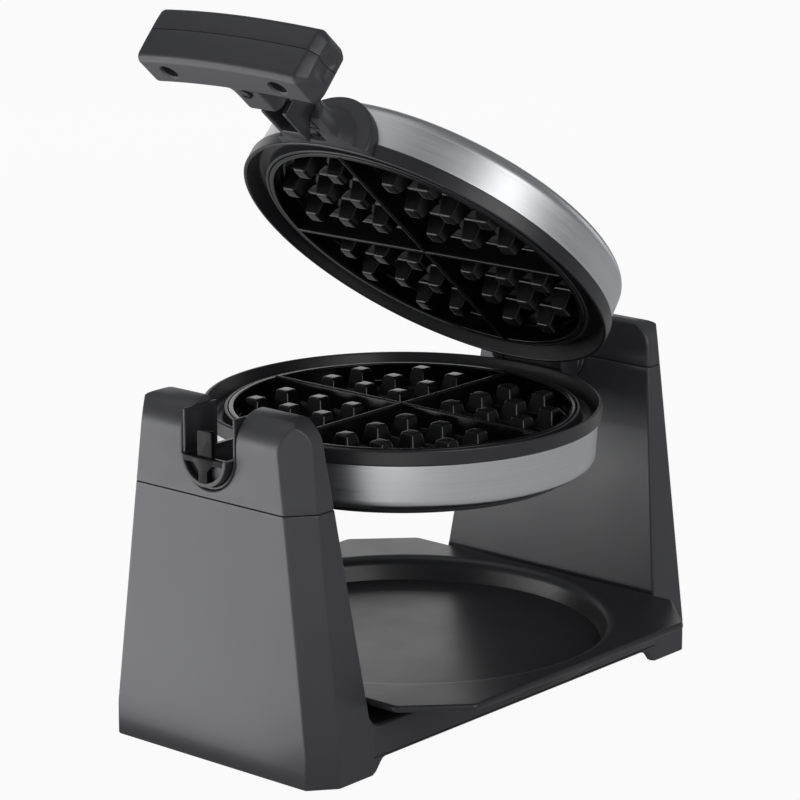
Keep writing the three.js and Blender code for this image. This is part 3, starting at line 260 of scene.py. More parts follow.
def eased(piece, width, angle=40, where=None, segments=3, smooth=32):
    """Rounds the sharp edges of a piece, all of them or those that where() accepts, in millimetres."""
    form = bmesh.new()
    form.from_mesh(piece.data)
    bmesh.ops.remove_doubles(form, verts=form.verts, dist=2e-6)
    bmesh.ops.dissolve_degenerate(form, edges=form.edges, dist=1e-6)
    chosen = [e for e in form.edges
              if len(e.link_faces) == 2 and e.calc_face_angle(0) > math.radians(angle)
              and (where is None or where(e.verts[0].co * 1000, e.verts[1].co * 1000))]
    bmesh.ops.bevel(form, geom=chosen, offset=width / 1000, segments=segments, profile=0.5,
                    affect="EDGES", clamp_overlap=True)
    form.to_mesh(piece.data)
    form.free()
    piece.data.shade_smooth()
    piece.data.set_sharp_from_angle(angle=math.radians(smooth))
    return piece


def dressed(piece, body, slot, material, *nodes):
    """Gives a piece its material, its moving body and the CAD nodes it stands for; its finish slot is not used."""
    piece.data.materials.clear()
    piece.data.materials.append(material)
    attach(piece, body)
    if nodes:
        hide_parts(*nodes)
    return piece


def new_material(name):
    """A material with its node tree, its shader and the object's own coordinates."""
    material = bpy.data.materials.new(name)
    material.use_nodes = True
    tree = material.node_tree
    where = add_node(tree, "ShaderNodeTexCoord").outputs["Object"]
    return material, tree, tree.nodes["Principled BSDF"], where


def noise(tree, where, scale, detail, rough=0.5):
    values = {"Vector": where, "Scale": scale, "Detail": detail, "Roughness": rough}
    return add_node(tree, "ShaderNodeTexNoise", values).outputs[0]


def tinted(tree, share, dark, light):
    values = {0: share, 6: (*dark, 1), 7: (*light, 1)}
    return add_node(tree, "ShaderNodeMix", values, data_type="RGBA").outputs[2]


def mapped(tree, value, start, end, low, high):
    """A value that runs from start to end, turned into one from low to high."""
    return add_node(tree, "ShaderNodeMapRange", {0: value, 1: start, 2: end, 3: low, 4: high}).outputs[0]


def bumped(tree, height, strength, distance):
    values = {"Height": height, "Strength": strength, "Distance": distance}
    return add_node(tree, "ShaderNodeBump", values).outputs[0]


def moulded_plastic(name, dark, light, rough, level=0.5, grain=0.00005, fine=1300):
    """Moulded plastic: soft mottling in colour and gloss, and a fine spark-eroded grain."""
    material, tree, shader, where = new_material(name)
    clouds = noise(tree, where, 26.0, 5.0, 0.62)
    speck = noise(tree, where, fine, 3.0, 0.7)
    share = reckon(tree, "MULTIPLY_ADD", speck, 0.4, clouds)
    fill(tree, shader, {"Specular IOR Level": level,
                        "Base Color": tinted(tree, share, dark, light),
                        "Roughness": mapped(tree, clouds, 0.3, 0.75, rough - 0.04, rough + 0.04),
                        "Normal": bumped(tree, speck, 0.6, grain)})
    return material


def outer_at(z):
    return HALF_LENGTH - 2 * z / TOWER_TOP


def inner_at(z):
    return 115 + 17.8 * z / TOWER_TOP


def half_depth_at(z):
    return HALF_DEPTH - SLOPE * max(0, z - UPRIGHT)


def tower_section(z, pinch=0.0, side=1):
    """The outline of a tower at one height, seen from above."""
    outer = outer_at(z)
    low = TOWER_TOP - CROWN
    if z > low:
        outer = outer_at(low) - CROWN + math.sqrt(max(0, CROWN ** 2 - (z - low) ** 2))
    inner = inner_at(z)
    low = TOWER_TOP - INNER_ROUND
    if z > low:
        inner = inner_at(low) + INNER_ROUND - math.sqrt(max(0, INNER_ROUND ** 2 - (z - low) ** 2))
    deep = half_depth_at(z)
    low = TOWER_TOP - SHOULDER
    if z > low + SHOULDER * math.sin(TILT):
        edge = math.cos(TILT) * HALF_DEPTH + math.sin(TILT) * UPRIGHT
        centre = (edge - SHOULDER - math.sin(TILT) * low) / math.cos(TILT)
        deep = centre + math.sqrt(max(0, SHOULDER ** 2 - (z - low) ** 2))
    shift = pinch * math.hypot(*CHAMFER) / CHAMFER[1]
    lean = (half_depth_at(z) - deep + pinch) * CHAMFER[0] / CHAMFER[1]
    corner_x = outer_at(z) - CHAMFER[0] - shift + lean
    outer -= pinch
    inner += pinch
    deep -= pinch
    corner_y = deep - (outer - corner_x) * CHAMFER[1] / CHAMFER[0]
    corner_x = min(corner_x, outer)
    corner_y = min(corner_y, deep)
    outline = filleted([(inner, -deep, 1.8), (corner_x, -deep, 2.4), (outer, -corner_y, 2.4),
                        (outer, corner_y, 2.4), (corner_x, deep, 2.4), (inner, deep, 1.8)], steps=5)
    return [(side * x, y, z) for x, y in outline]


def tower_heights(low, high):
    rounds = [TOWER_TOP - CROWN + CROWN * math.sin(math.radians(a)) for a in range(0, 91, 6)]
    rounds += [TOWER_TOP - INNER_ROUND + INNER_ROUND * math.sin(math.radians(a)) for a in range(10, 91, 20)]
    steady = [9.4, 13, 16.6, 17.4, 18.1, 18.8, 19.6, 23, 38, 60, 90, 120, 137, 150, 160, 167]
    inside = [z for z in steady + rounds if low + 0.6 < z < high - 0.02]
    return sorted(set(round(z, 4) for z in inside))


def tower(side, low, high, low_seam=False, high_seam=False):
    rings = []
    if low_seam:
        rings += [tower_section(low, 0.4, side), tower_section(low + 0.12, 0.12, side),
                  tower_section(low + 0.4, 0, side)]
    else:
        rings.append(tower_section(low, 0, side))
    rings += [tower_section(z, 0, side) for z in tower_heights(low, high)]
    if high_seam:
        rings += [tower_section(high - 0.4, 0, side), tower_section(high - 0.12, 0.12, side),
                  tower_section(high, 0.4, side)]
    else:
        rings.append(tower_section(high - 0.01, 0, side))
    return skin(rings)


def inward(outline, distance):
    """A fine outline moved in by a distance, point by point."""
    result = []
    count = len(outline)
    for i, point in enumerate(outline):
        ahead = Vector(outline[(i + 1) % count]) - Vector(outline[i - 1])
        normal = Vector((-ahead.y, ahead.x)).normalized()
        result.append(tuple(Vector(point) + normal * distance))
    return result


def beam():
    tuck = 0.03
    half = [(121, 9.3), (inner_at(40) + 6, 40), (inner_at(40) + tuck, 40),
            (inner_at(26.5) + tuck, 26.5, 12)]
    outline = filleted(half + [(-x, z, *more) for x, z, *more in reversed(half)], steps=12)
    rings = []
    for y, inset in ((-76, 1.6), (-75.8, 0.85), (-75.3, 0.3), (-74.4, 0), (-73, 0),
                     (73, 0), (74.4, 0), (75.3, 0.3), (75.8, 0.85), (76, 1.6)):
        ring = inward(outline, inset) if inset else outline
        rings.append([(x, y * half_depth_at(z) / HALF_DEPTH, z) for x, z in ring])
    return skin(rings)


def skirt():
    """The thin wall below the beam and towers, cut away in an arch at the front and back."""
    def plan(inset):
        far = outer_at(5) - inset
        deep = HALF_DEPTH - inset
        c = inset * 0.45
        corners = []
        for sx, sy in ((1, -1), (1, 1), (-1, 1), (-1, -1)):
            pair = [(sx * (far - CHAMFER[0] + c), sy * deep, 2.2),
                    (sx * far, sy * (deep - CHAMFER[1] + c), 2.2)]
            corners += pair if sx * sy < 0 else pair[::-1]
        return filleted(corners)

    def along(points):
        dense = []
        for i, point in enumerate(points):
            after = points[(i + 1) % len(points)]
            parts = 1
            if math.hypot(after[0] - point[0], after[1] - point[1]) > 100:
                parts = 120
            dense += [(point[0] + (after[0] - point[0]) * k / parts,
                       point[1] + (after[1] - point[1]) * k / parts) for k in range(parts)]
        return dense

    def foot_line(x):
        t = min(1, max(0, (118 - abs(x)) / 9))
        return 0.8 + 7.9 * t * t * (3 - 2 * t)

    outside = along(plan(0.02))
    inside = along(plan(3))
    rings = []
    for (ox, oy), (ix, iy) in zip(outside, inside):
        low = foot_line(ox)
        rings.append([(ox, oy, 9.7), (ox, oy, low + 0.5), (ox * 0.9987, oy * 0.9935, low),
                      (ix, iy, low), (ix, iy, 9.7)])
    return skin(rings, looped=True)


def turned(profile, segments=96, axis="Z", arc=None):
    """A shell turned from [radius, distance] points, about Z, or about X for an X axis."""
    open_ends = profile[0][0] == 0 and profile[-1][0] == 0
    rings = []
    angles = spread(0, 2 * math.pi, segments + 1)[:-1] if arc is None else spread(arc[0], arc[1], segments)
    for a in angles:
        if axis == "Z":
            rings.append([(r * math.cos(a), r * math.sin(a), d) for r, d in profile])
        else:
            rings.append([(-d, r * math.cos(a), r * math.sin(a)) for r, d in profile])
    if arc is not None:
        return skin(rings)
    points, faces = skin(rings, looped=True)
    if open_ends:
        count = len(profile)
        faces = [f for f in faces if not (f[0] % count == count - 1 and f[1] % count == 0)]
    return points, faces


def bearing_room():
    """The bore for the bush in the right tower's inner wall, and the wider room behind it."""
    profile = [(0, -124), (15.6, -124), (15.6, -135.7), (18.2, -135.7), (18.2, -149), (0, -149)]
    place = STAND @ Matrix.Translation((0, 0, AXIS_HEIGHT))
    return made_piece("bearing_room", [turned(profile, 64, axis="X")], place)


def joined(piece, other):
    """Both pieces in one mesh, with the second object removed."""
    whole = bmesh.new()
    whole.from_mesh(piece.data)
    whole.from_mesh(other.data)
    whole.to_mesh(piece.data)
    whole.free()
    bpy.data.objects.remove(other)
    return piece


housing_black = moulded_plastic("housing_black", (0.035, 0.035, 0.040), (0.047, 0.047, 0.054),
                                0.42, level=0.6)
housing = made_piece("stand_housing", [beam(), skirt(), tower(-1, 9.4, LEFT_SEAM, high_seam=True)], STAND)
right_tower = made_piece("right_tower", [tower(1, 9.4, RIGHT_SEAM, high_seam=True)], STAND)
joined(housing, carved(right_tower, [bearing_room()]))
dressed(housing, "stand", "housing_plastic", housing_black, "base_housing")


# Tower caps
# The same moulded black plastic, snapped on above the seams. The left one has a round-bottomed
# slot with a soft lip, which carries the collar of the lower iron.
SLOT_RADIUS = 18


def round_axis(radius, count, start=math.pi, end=2 * math.pi):
    """Points [y, z] on an arc about the turning axis, below it unless told otherwise."""
    return [(radius * math.cos(a), AXIS_HEIGHT + radius * math.sin(a)) for a in spread(start, end, count)]


def slot_outline(radius, top):
    return round_axis(radius, 33) + [(radius, top), (-radius, top)]


def along_length(outline, stations):
    """A shell along the length from [y, z] outlines at [x, inset] stations."""
    return skin([[(x, y, z) for y, z in (inward(outline, inset) if inset else outline)]
                 for x, inset in stations])


right_cap = made_piece("right_tower_top", [tower(1, RIGHT_SEAM + SEAM_GAP, TOWER_TOP, low_seam=True)], STAND)
carved(right_cap, [bearing_room()])
dressed(right_cap, "stand", "housing_plastic", housing_black, "right_tower_cap")

left_cap = made_piece("left_tower_top", [tower(-1, LEFT_SEAM + SEAM_GAP, TOWER_TOP, low_seam=True)], STAND)
slot_space = along_length(slot_outline(SLOT_RADIUS, 200), ((-170, 0), (-100, 0)))
carved(left_cap, [made_piece("slot_tool", [slot_space], STAND)])


def on_slot(a, b):
    def near(p):
        if p.z > AXIS_HEIGHT:
            return abs(abs(p.y) - SLOT_RADIUS) < 0.03
        return abs(math.hypot(p.y, p.z - AXIS_HEIGHT) - SLOT_RADIUS) < 0.12
    return near(a) and near(b)


eased(left_cap, 1.3, 30, on_slot, 4)
dressed(left_cap, "stand", "housing_plastic", housing_black, "left_tower_cap")


# Slot liner
# A slippery U-shaped plastic strip pressed into the slot, with a step in front, so that the
# collar turns without wearing the tower.
satin_black = moulded_plastic("satin_black", (0.015, 0.015, 0.017), (0.024, 0.024, 0.027), 0.36,
                              grain=0.00003)


def half_pipe(outer, inner, top):
    ring = round_axis(outer, 37)
    back = round_axis(inner, 37, 2 * math.pi, math.pi)
    right_lip = [(outer, top - 0.3), (outer - 0.3, top), (inner + 0.3, top), (inner, top - 0.3)]
    left_lip = [(-inner, top - 0.3), (-inner - 0.3, top), (-outer + 0.3, top)]
    return [(-outer, top - 0.3)] + ring + right_lip + back + left_lip


liner = made_piece("slot_liner", [
    along_length(half_pipe(17.7, 16.2, 182), ((-153.9, 0.35), (-153.5, 0), (-130.6, 0), (-130.2, 0.35))),
    along_length(half_pipe(16.9, 15.95, 180), ((-150.6, 0.2), (-150.2, 0), (-134, 0), (-133.6, 0.2)))], STAND)
dressed(liner, "stand", "rim_plastic", satin_black, "cradle_liner")


# Bottom plate, screws and feet
# A flat moulded plate closes the stand from below. Four pan-head screws hold it, and four soft
# rubber feet are pressed into it.
plate_black = moulded_plastic("plate_black", (0.013, 0.013, 0.014), (0.026, 0.026, 0.028), 0.6,
                              grain=0.0001, fine=900)
rubber = moulded_plastic("soft_rubber", (0.008, 0.008, 0.008), (0.02, 0.02, 0.02), 0.82,
                         level=0.3, grain=0.00012, fine=700)


def plated_steel(name, tone, rough):
    """Plated or bare steel with fine random scratches and cloudy gloss."""
    material, tree, shader, where = new_material(name)
    clouds = noise(tree, where, 90.0, 4.0)
    lines = add_node(tree, "ShaderNodeTexWave",
                     {"Vector": where, "Scale": 420.0, "Distortion": 9.0, "Detail": 3.0})
    dark = (tone * 0.72, tone * 0.73, tone * 0.75)
    light = (tone, tone, tone * 1.02)
    fill(tree, shader, {"Metallic": 1,
                        "Base Color": tinted(tree, clouds, dark, light),
                        "Roughness": mapped(tree, clouds, 0, 1, rough - 0.08, rough + 0.14),
                        "Normal": bumped(tree, lines.outputs["Fac"], 0.25, 0.00002)})
    return material


zinc = plated_steel("zinc_plated", 0.3, 0.38)
black_oxide = plated_steel("black_oxide", 0.05, 0.45)


def cad_copy(node, name, width, angle=38):
    """A CAD node's shape as a clean mesh with its sharp edges rounded."""
    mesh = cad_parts[node].data.copy()
    mesh.materials.clear()
    piece = bpy.data.objects.new(name, mesh)
    scene.collection.objects.link(piece)
    form = bmesh.new()
    form.from_mesh(mesh)
    bmesh.ops.remove_doubles(form, verts=form.verts, dist=1e-6)
    bmesh.ops.dissolve_limit(form, angle_limit=math.radians(0.6), verts=form.verts, edges=form.edges)
    form.to_mesh(mesh)
    form.free()
    return eased(piece, width, angle)


def foot_shape():
    side = filleted([(6.4, 0.5, 0.4), (6.9, 0, 0.4), (8, 0, 1.0), (8, 5, 0.3), (7.6, 9.2, 0.3)])
    return turned([(0, 0.5)] + side + [(0, 9.2)], 40)


def screw_shape(head, rise, shank, length):
    """A pan head above z 0, and its shank below; cross_screw cuts the cross recess."""
    return turned(filleted([(0, rise), (head * 0.55, rise), (head, rise * 0.62, rise * 0.4), (head, 0, 0.15),
                            (shank, 0, 0.1), (shank, -length, 0.3), (0, -length)], closed=False, steps=4), 28)


def cross_screw(name, head, rise, shank, length, place):
    piece = made_piece(name, [screw_shape(head, rise, shank, length)], place)
    tools = []
    for turn in (0, math.pi / 2):
        w, r = head * 0.11, head * 0.56
        corners = [(-r, -w), (r, -w), (r, w), (-r, w)]
        spun = [(x * math.cos(turn) - y * math.sin(turn), x * math.sin(turn) + y * math.cos(turn))
                for x, y in corners]
        tools.append(made_piece("bit", [skin([[(x * 0.55, y, rise * 0.25) for x, y in spun],
                                              [(x, y, rise + 0.4) for x, y in spun]])], place))
    return carved(piece, tools)


def tree_with(name, wants, gives):
    """An empty node tree with named inputs and one output, and the sockets of its inputs."""
    tree = bpy.data.node_groups.new(name, "GeometryNodeTree")
    for label, kind in wants.items():
        tree.interface.new_socket(name=label, in_out="INPUT", socket_type="NodeSocket" + kind)
    tree.interface.new_socket(name=gives, in_out="OUTPUT", socket_type="NodeSocketGeometry")
    return tree, add_node(tree, "NodeGroupInput").outputs


def ended(tree, instances, finish, gives):
    """Makes a tree's instances real, gives them their finish and leads them to its output."""
    real = add_node(tree, "GeometryNodeRealizeInstances", {0: instances})
    paint = add_node(tree, "GeometryNodeSetMaterial", {"Geometry": real.outputs[0], "Material": finish})
    add_node(tree, "NodeGroupOutput", {gives: paint.outputs[0]})
    return tree


def corner_tree():
    """A small node tree that repeats a piece at four corners."""
    tree, given = tree_with("four_corners", {
        "Piece": "Geometry", "Along Length": "Float", "Along Depth": "Float", "Middle": "Vector",
        "Finish": "Material"}, "Pieces")
    grid = add_node(tree, "GeometryNodeMeshGrid", {
        "Size X": given["Along Length"], "Size Y": given["Along Depth"], "Vertices X": 2, "Vertices Y": 2})
    shift = add_node(tree, "GeometryNodeSetPosition",
                     {"Geometry": grid.outputs["Mesh"], "Offset": given["Middle"]})
    copies = add_node(tree, "GeometryNodeInstanceOnPoints",
                      {"Points": shift.outputs[0], "Instance": given["Piece"]})
    return ended(tree, copies.outputs[0], given["Finish"], "Pieces")


def grown(piece, tree, values):
    """Runs a node tree on a piece with named values and keeps the result as its mesh."""
    growth = piece.modifiers.new("growth", "NODES")
    growth.node_group = tree
    for item in tree.interface.items_tree:
        if item.in_out == "INPUT" and item.name in values:
            growth[item.identifier] = values[item.name]
    ready = piece.evaluated_get(bpy.context.evaluated_depsgraph_get())
    mesh = bpy.data.meshes.new_from_object(ready)
    piece.modifiers.remove(growth)
    piece.data = mesh
    return piece


four_corners = corner_tree()
feet = made_piece("rubber_feet", [foot_shape()])
grown(feet, four_corners, {"Along Length": 0.264, "Along Depth": 0.112, "Middle": (0.00125, 0, 0),
                           "Finish": rubber})
dressed(feet, "stand", "foot_rubber", rubber, *[f"rubber_foot_{i}" for i in (1, 2, 3, 4)])

FLIPPED = Matrix.Rotation(math.pi, 4, "X")
screws_up = IN_METRES @ Matrix.Translation((0, 0, 9.2)) @ FLIPPED
plate_screws = cross_screw("plate_screws", 3.2, 1.8, 1.5, 9, screws_up)
grown(plate_screws, four_corners, {"Along Length": 0.176, "Along Depth": 0.11, "Middle": (0.00125, 0, 0),
                                   "Finish": zinc})
dressed(plate_screws, "stand", "plated_steel", zinc, *[f"bottom_screw_{i}" for i in (1, 2, 3, 4)])

bottom_plate = cad_copy("bottom_plate", "bottom_cover_plate", 0.5)
dressed(bottom_plate, "stand", "rim_plastic", plate_black, "bottom_plate")


# Cord inlet
# A rubber grommet in the back of the right tower, where the mains lead would enter.
CROSSWISE = Matrix.Rotation(math.pi / 2, 4, "Z")
inlet_place = STAND @ Matrix.Translation((136, 0, 22)) @ CROSSWISE
inlet = made_piece("cord_grommet", [turned(filleted([
    (3.8, -69, 0.5), (6, -69, 0.5), (6, -76.3, 0.3), (8.5, -76.3, 0.3), (8.5, -78.7, 1.1),
    (5.6, -78.7, 0.5), (5.0, -77.9, 0.3), (3.8, -77.9, 0.4)]), 64, axis="X")], inlet_place)
dressed(inlet, "stand", "foot_rubber", rubber, "cord_inlet")


# Inside the stand
# The terminal block, the inner lead, the thermostats, the retainer and the heat shields stay as they
# are in the CAD, each with its own finish: glazed ceramic, rubber or plated steel.
ceramic = moulded_plastic("glazed_ceramic", (0.55, 0.54, 0.5), (0.72, 0.71, 0.67), 0.38, grain=0.00004)
for node, material in (("terminal_block", ceramic), ("inner_lead", rubber), ("lower_thermostat", ceramic),
                       ("lid_thermostat", ceramic), ("shaft_retainer", zinc), ("lower_heat_shield", zinc),
                       ("lid_heat_shield", zinc)):
    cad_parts[node].data.materials.clear()
    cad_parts[node].data.materials.append(material)


# Drip tray
# One pressed sheet of enamelled steel: an octagon with a folded rim and a round dish, which
# rests on the beam. Satin black paint, with a tight 0.3 mm round where the dish wall meets its floor.
tray_paint = moulded_plastic("tray_enamel", (0.018, 0.018, 0.020), (0.028, 0.028, 0.031), 0.33,
                             grain=0.00002, fine=2200)
TRAY = IN_METRES @ Matrix.Translation((-1.35, 0, 0))


def tray_shape():
    x, y, c = 115, 119, 28.6
    corners = [(x - c, -y), (x, -y + c), (x, y - c), (x - c, y),
               (-x + c, y), (-x, y - c), (-x, -y + c), (-x + c, -y)]
    edge = filleted([(u, v, 5) for u, v in corners], steps=5)
    dense = []
    for i, point in enumerate(edge):
        after = edge[(i + 1) % len(edge)]
        parts = max(1, round(math.hypot(after[0] - point[0], after[1] - point[1]) / 4))
        dense += [(point[0] + (after[0] - point[0]) * k / parts,
                   point[1] + (after[1] - point[1]) * k / parts) for k in range(parts)]
    rounds = [Vector(p).normalized() for p in dense]

    def ring(radius, z):
        return [(p.x * radius, p.y * radius, z) for p in rounds]

    def rim(inset, z):
        return [(u, v, z) for u, v in inward(dense, inset)]

    top, floor, sheet = 40.5, 28.3, 1.5
    wall = filleted([(60, floor), (103.4, floor, 0.3), (107.2, top, 9), (118, top)], closed=False, steps=14)
    rings = [ring(r, floor) for r in (0.001, 30, 60, 90)]
    rings += [ring(r, z) for r, z in wall[1:-1]]
    fold = ((1.75, 0), (1.4, 0), (0.9, 0.12), (0.4, 0.45), (0.1, 0.95), (0, 1.5), (0, 2.9), (0.25, 3.15),
            (0.75, 3.15), (1.0, 2.9), (1.0, 1.5))
    rings += [rim(inset, top - drop) for inset, drop in fold]
    under = [(r + (1.3 if 100 < r < 112.9 else 0.4), z - sheet) for r, z in reversed(wall[1:-1])]
    rings += [ring(min(r, 113.5), z) for r, z in under]
    rings += [ring(r, floor - sheet) for r in (90, 60, 30, 0.001)]
    return skin(rings)


tray = made_piece("drip_tray_sheet", [tray_shape()], TRAY, smooth=50)
dressed(tray, "tray", "tray_paint", tray_paint, "drip_tray")


# Rims of both iron halves
# Glass-filled plastic rings: a lip and a band outside, a gutter for batter inside it, and a well
# that holds the plate. The lid's one is cut away at the hinge.
IRON = IN_METRES @ Matrix.Translation((-5.75, 0, AXIS_HEIGHT))
LOWER = IRON @ FLIPPED
OPEN = math.radians(41.5)
PIVOT = IN_METRES @ Matrix.Translation((98.5, 0, 176.2))
LID = PIVOT @ Matrix.Rotation(OPEN, 4, "Y") @ Matrix.Translation((-104.25, 0, -14.2))
FINE = 192
rim_profile = filleted([(103.2, 0, 0.7), (105, 0, 0.8), (105, 8, 0.7), (100.7, 8, 0.3), (100.7, 11.5, 0.4),
                        (93.4, 11.5, 0.3), (93.4, 18.5, 0.3), (88, 18.5, 0.3), (88, 16.8, 0.3),
                        (91.6, 16.8, 0.2), (91.6, 3, 0.5), (93.4, 3, 0.6), (93.4, 9.7, 1.6), (99.8, 9.7, 2.4)], steps=4)
lower_rim = made_piece("lower_rim_ring", [turned(rim_profile, FINE)], LOWER)
dressed(lower_rim, "lower_iron", "rim_plastic", satin_black, "lower_rim")
lid_rim = made_piece("lid_rim_ring", [turned(rim_profile, FINE)], LID)
swing = made_piece("swing", [turned([(0, -25), (5.6, -25), (5.6, 25), (0, 25)], 40, axis="X")],
                   LID @ Matrix.Translation((104.25, 0, 14.2)) @ CROSSWISE)
carved(lid_rim, [swing])
dressed(lid_rim, "lid", "rim_plastic", satin_black, "lid_rim")


# Steel covers
# Drawn stainless steel shells over the heating parts, brushed round their circumference, with a
# rolled shoulder. The lid's one is gently domed, and the lower one turns in round a plastic cap.
def local_place(tree, where, centre, turn):
    values = {"Vector": where, "Location": centre, "Rotation": turn}
    return add_node(tree, "ShaderNodeMapping", values, vector_type="TEXTURE").outputs[0]


def vector_step(tree, operation, *values, result="Vector"):
    made = add_node(tree, "ShaderNodeVectorMath", dict(enumerate(values)), operation=operation)
    return made.outputs[result]


STREAKS = 2600


def brushed_steel(name, centre, turn):
    """Streaks round the axis, told apart by height and radius, and gloss drawn out along them."""
    material, tree, shader, where = new_material(name)
    local = local_place(tree, where, centre, turn)
    flat = vector_step(tree, "MULTIPLY", local, (1, 1, 0))
    heading = vector_step(tree, "NORMALIZE", flat)
    slow = add_node(tree, "ShaderNodeVectorMath", {0: heading, "Scale": 1.6}, operation="SCALE")
    height = add_node(tree, "ShaderNodeSeparateXYZ", {0: local}).outputs["Z"]
    rise = add_node(tree, "ShaderNodeCombineXYZ", {"Z": reckon(tree, "MULTIPLY", height, STREAKS)})
    reach = reckon(tree, "MULTIPLY", vector_step(tree, "LENGTH", flat, result="Value"), STREAKS)
    streak = add_node(tree, "ShaderNodeTexNoise", {
        "Vector": vector_step(tree, "ADD", slow.outputs[0], rise.outputs[0]), "W": reach,
        "Scale": 1.0, "Detail": 3.0, "Roughness": 0.65}, noise_dimensions="4D").outputs[0]
    across = vector_step(tree, "CROSS_PRODUCT", (0, 0, 1), heading)
    back = add_node(tree, "ShaderNodeMapping", {"Vector": across, "Rotation": turn}, vector_type="VECTOR")
    along = add_node(tree, "ShaderNodeVectorTransform", {0: back.outputs[0]},
                     vector_type="VECTOR", convert_from="OBJECT", convert_to="WORLD")
    fill(tree, shader, {"Metallic": 1, "Anisotropic": 0.62,
                        "Base Color": tinted(tree, streak, (0.50, 0.51, 0.53), (0.74, 0.74, 0.75)),
                        "Roughness": mapped(tree, streak, 0.3, 0.7, 0.27, 0.42),
                        "Normal": bumped(tree, streak, 0.35, 0.00002),
                        "Tangent": along.outputs[0]})
    return material


lower_steel = brushed_steel("lower_brushed_steel", (-0.00575, 0, 0.161), (0, 0, 0))
lid_centre = LID @ Vector((0, 0, 0))
lid_steel = brushed_steel("lid_brushed_steel", tuple(lid_centre), (0, OPEN, 0))

lower_cover = made_piece("lower_steel_shell", [turned(filleted([
    (102, 8.3, 0.3), (103, 8.3, 0.3), (101.6, 32.3, 8), (91, 32.3, 0.3), (91, 31.3, 0.3),
    (100.6, 31.3, 7)], steps=8), FINE)], LOWER)
dressed(lower_cover, "lower_iron", "brushed_steel", lower_steel, "lower_steel_cover")

dome = [(r, 34.3 - 2 * (r / 94) ** 2) for r in (0, 15, 30, 45, 60, 75, 86)]
under_dome = [(r, z - 1) for r, z in reversed(dome)]
cover_profile = dome[:-1] + filleted([dome[-1], (101.7, 32.1, 8), (103, 8.3, 0.3), (102, 8.3, 0.3),
                                      (100.7, 31.1, 7), under_dome[0]], closed=False, steps=8) + under_dome[1:]
lid_cover = made_piece("lid_steel_shell", [turned(cover_profile, FINE)], LID)
notch = made_piece("notch", [skin([[(x, y, z) for x, y in ((96.85, -25), (110, -25), (110, 25), (96.85, 25))]
                                   for z in (8, 25.3)])], LID)
lamp_holes = [made_piece("lamp_hole", [turned([(0, 26), (2.2, 26), (2.2, 40), (0, 40)], 24)],
                         LID @ Matrix.Translation((-90, y, 0))) for y in (1, 7)]
carved(lid_cover, [notch] + lamp_holes)
dressed(lid_cover, "lid", "brushed_steel", lid_steel, "lid_steel_cover")

bottom_cap = made_piece("lower_cap", [turned(filleted([
    (0, 32.6), (93, 32.6, 0.4), (91.6, 36, 1.2), (60, 36, 0.3), (59, 35.4, 0.3), (0, 35.4)],
    closed=False), FINE)], LOWER)
dressed(bottom_cap, "lower_iron", "rim_plastic", satin_black, "lower_bottom_cap")


# Waffle plates
# Cast aluminium pans under a black non-stick coat. Sixteen tapered pegs in each corner block
# make the deep squares, cut to eight by the round wall, and a cross of ridges makes four pieces.
def non_stick_coat(name, centre, turn):
    """Glossy black coating with orange peel, worn a little lighter on crests and tips."""
    material, tree, shader, where = new_material(name)
    height = add_node(tree, "ShaderNodeSeparateXYZ", {0: local_place(tree, where, centre, turn)}).outputs["Z"]
    crest = mapped(tree, reckon(tree, "ABSOLUTE", height), 0.0034, 0.0021, 0, 1)
    peel = noise(tree, where, 420.0, 2.0)
    rub = noise(tree, where, 160.0, 5.0, 0.7)
    worn = reckon(tree, "MULTIPLY", crest, rub)
    fill(tree, shader, {"Specular IOR Level": 0.3,
                        "Base Color": tinted(tree, worn, (0.0026, 0.0026, 0.003), (0.03, 0.03, 0.032)),
                        "Roughness": mapped(tree, rub, 0, 1, 0.15, 0.27),
                        "Normal": bumped(tree, peel, 0.3, 0.00005)})
    return material


def peg_shape():
    """One tapered peg with soft edges and a flared foot."""
    levels = [(2.0, 2.7, 0.7), (2.04, 3.2, 0.9), (2.2, 3.6, 1.1), (2.5, 3.9, 1.2), (2.95, 4.15, 1.3),
              (3.4, 4.35, 1.3), (12.0, 6.35, 1.6), (12.6, 6.6, 1.8), (13.1, 7.05, 2.1), (13.42, 7.7, 2.5),
              (13.52, 8.3, 2.9), (14.2, 8.4, 2.9)]
    return skin([[(x, y, z) for x, y in filleted([(-h, -h, r), (h, -h, r), (h, h, r), (-h, h, r)],
                                                 steps=4, hold=0.2)] for z, h, r in levels])


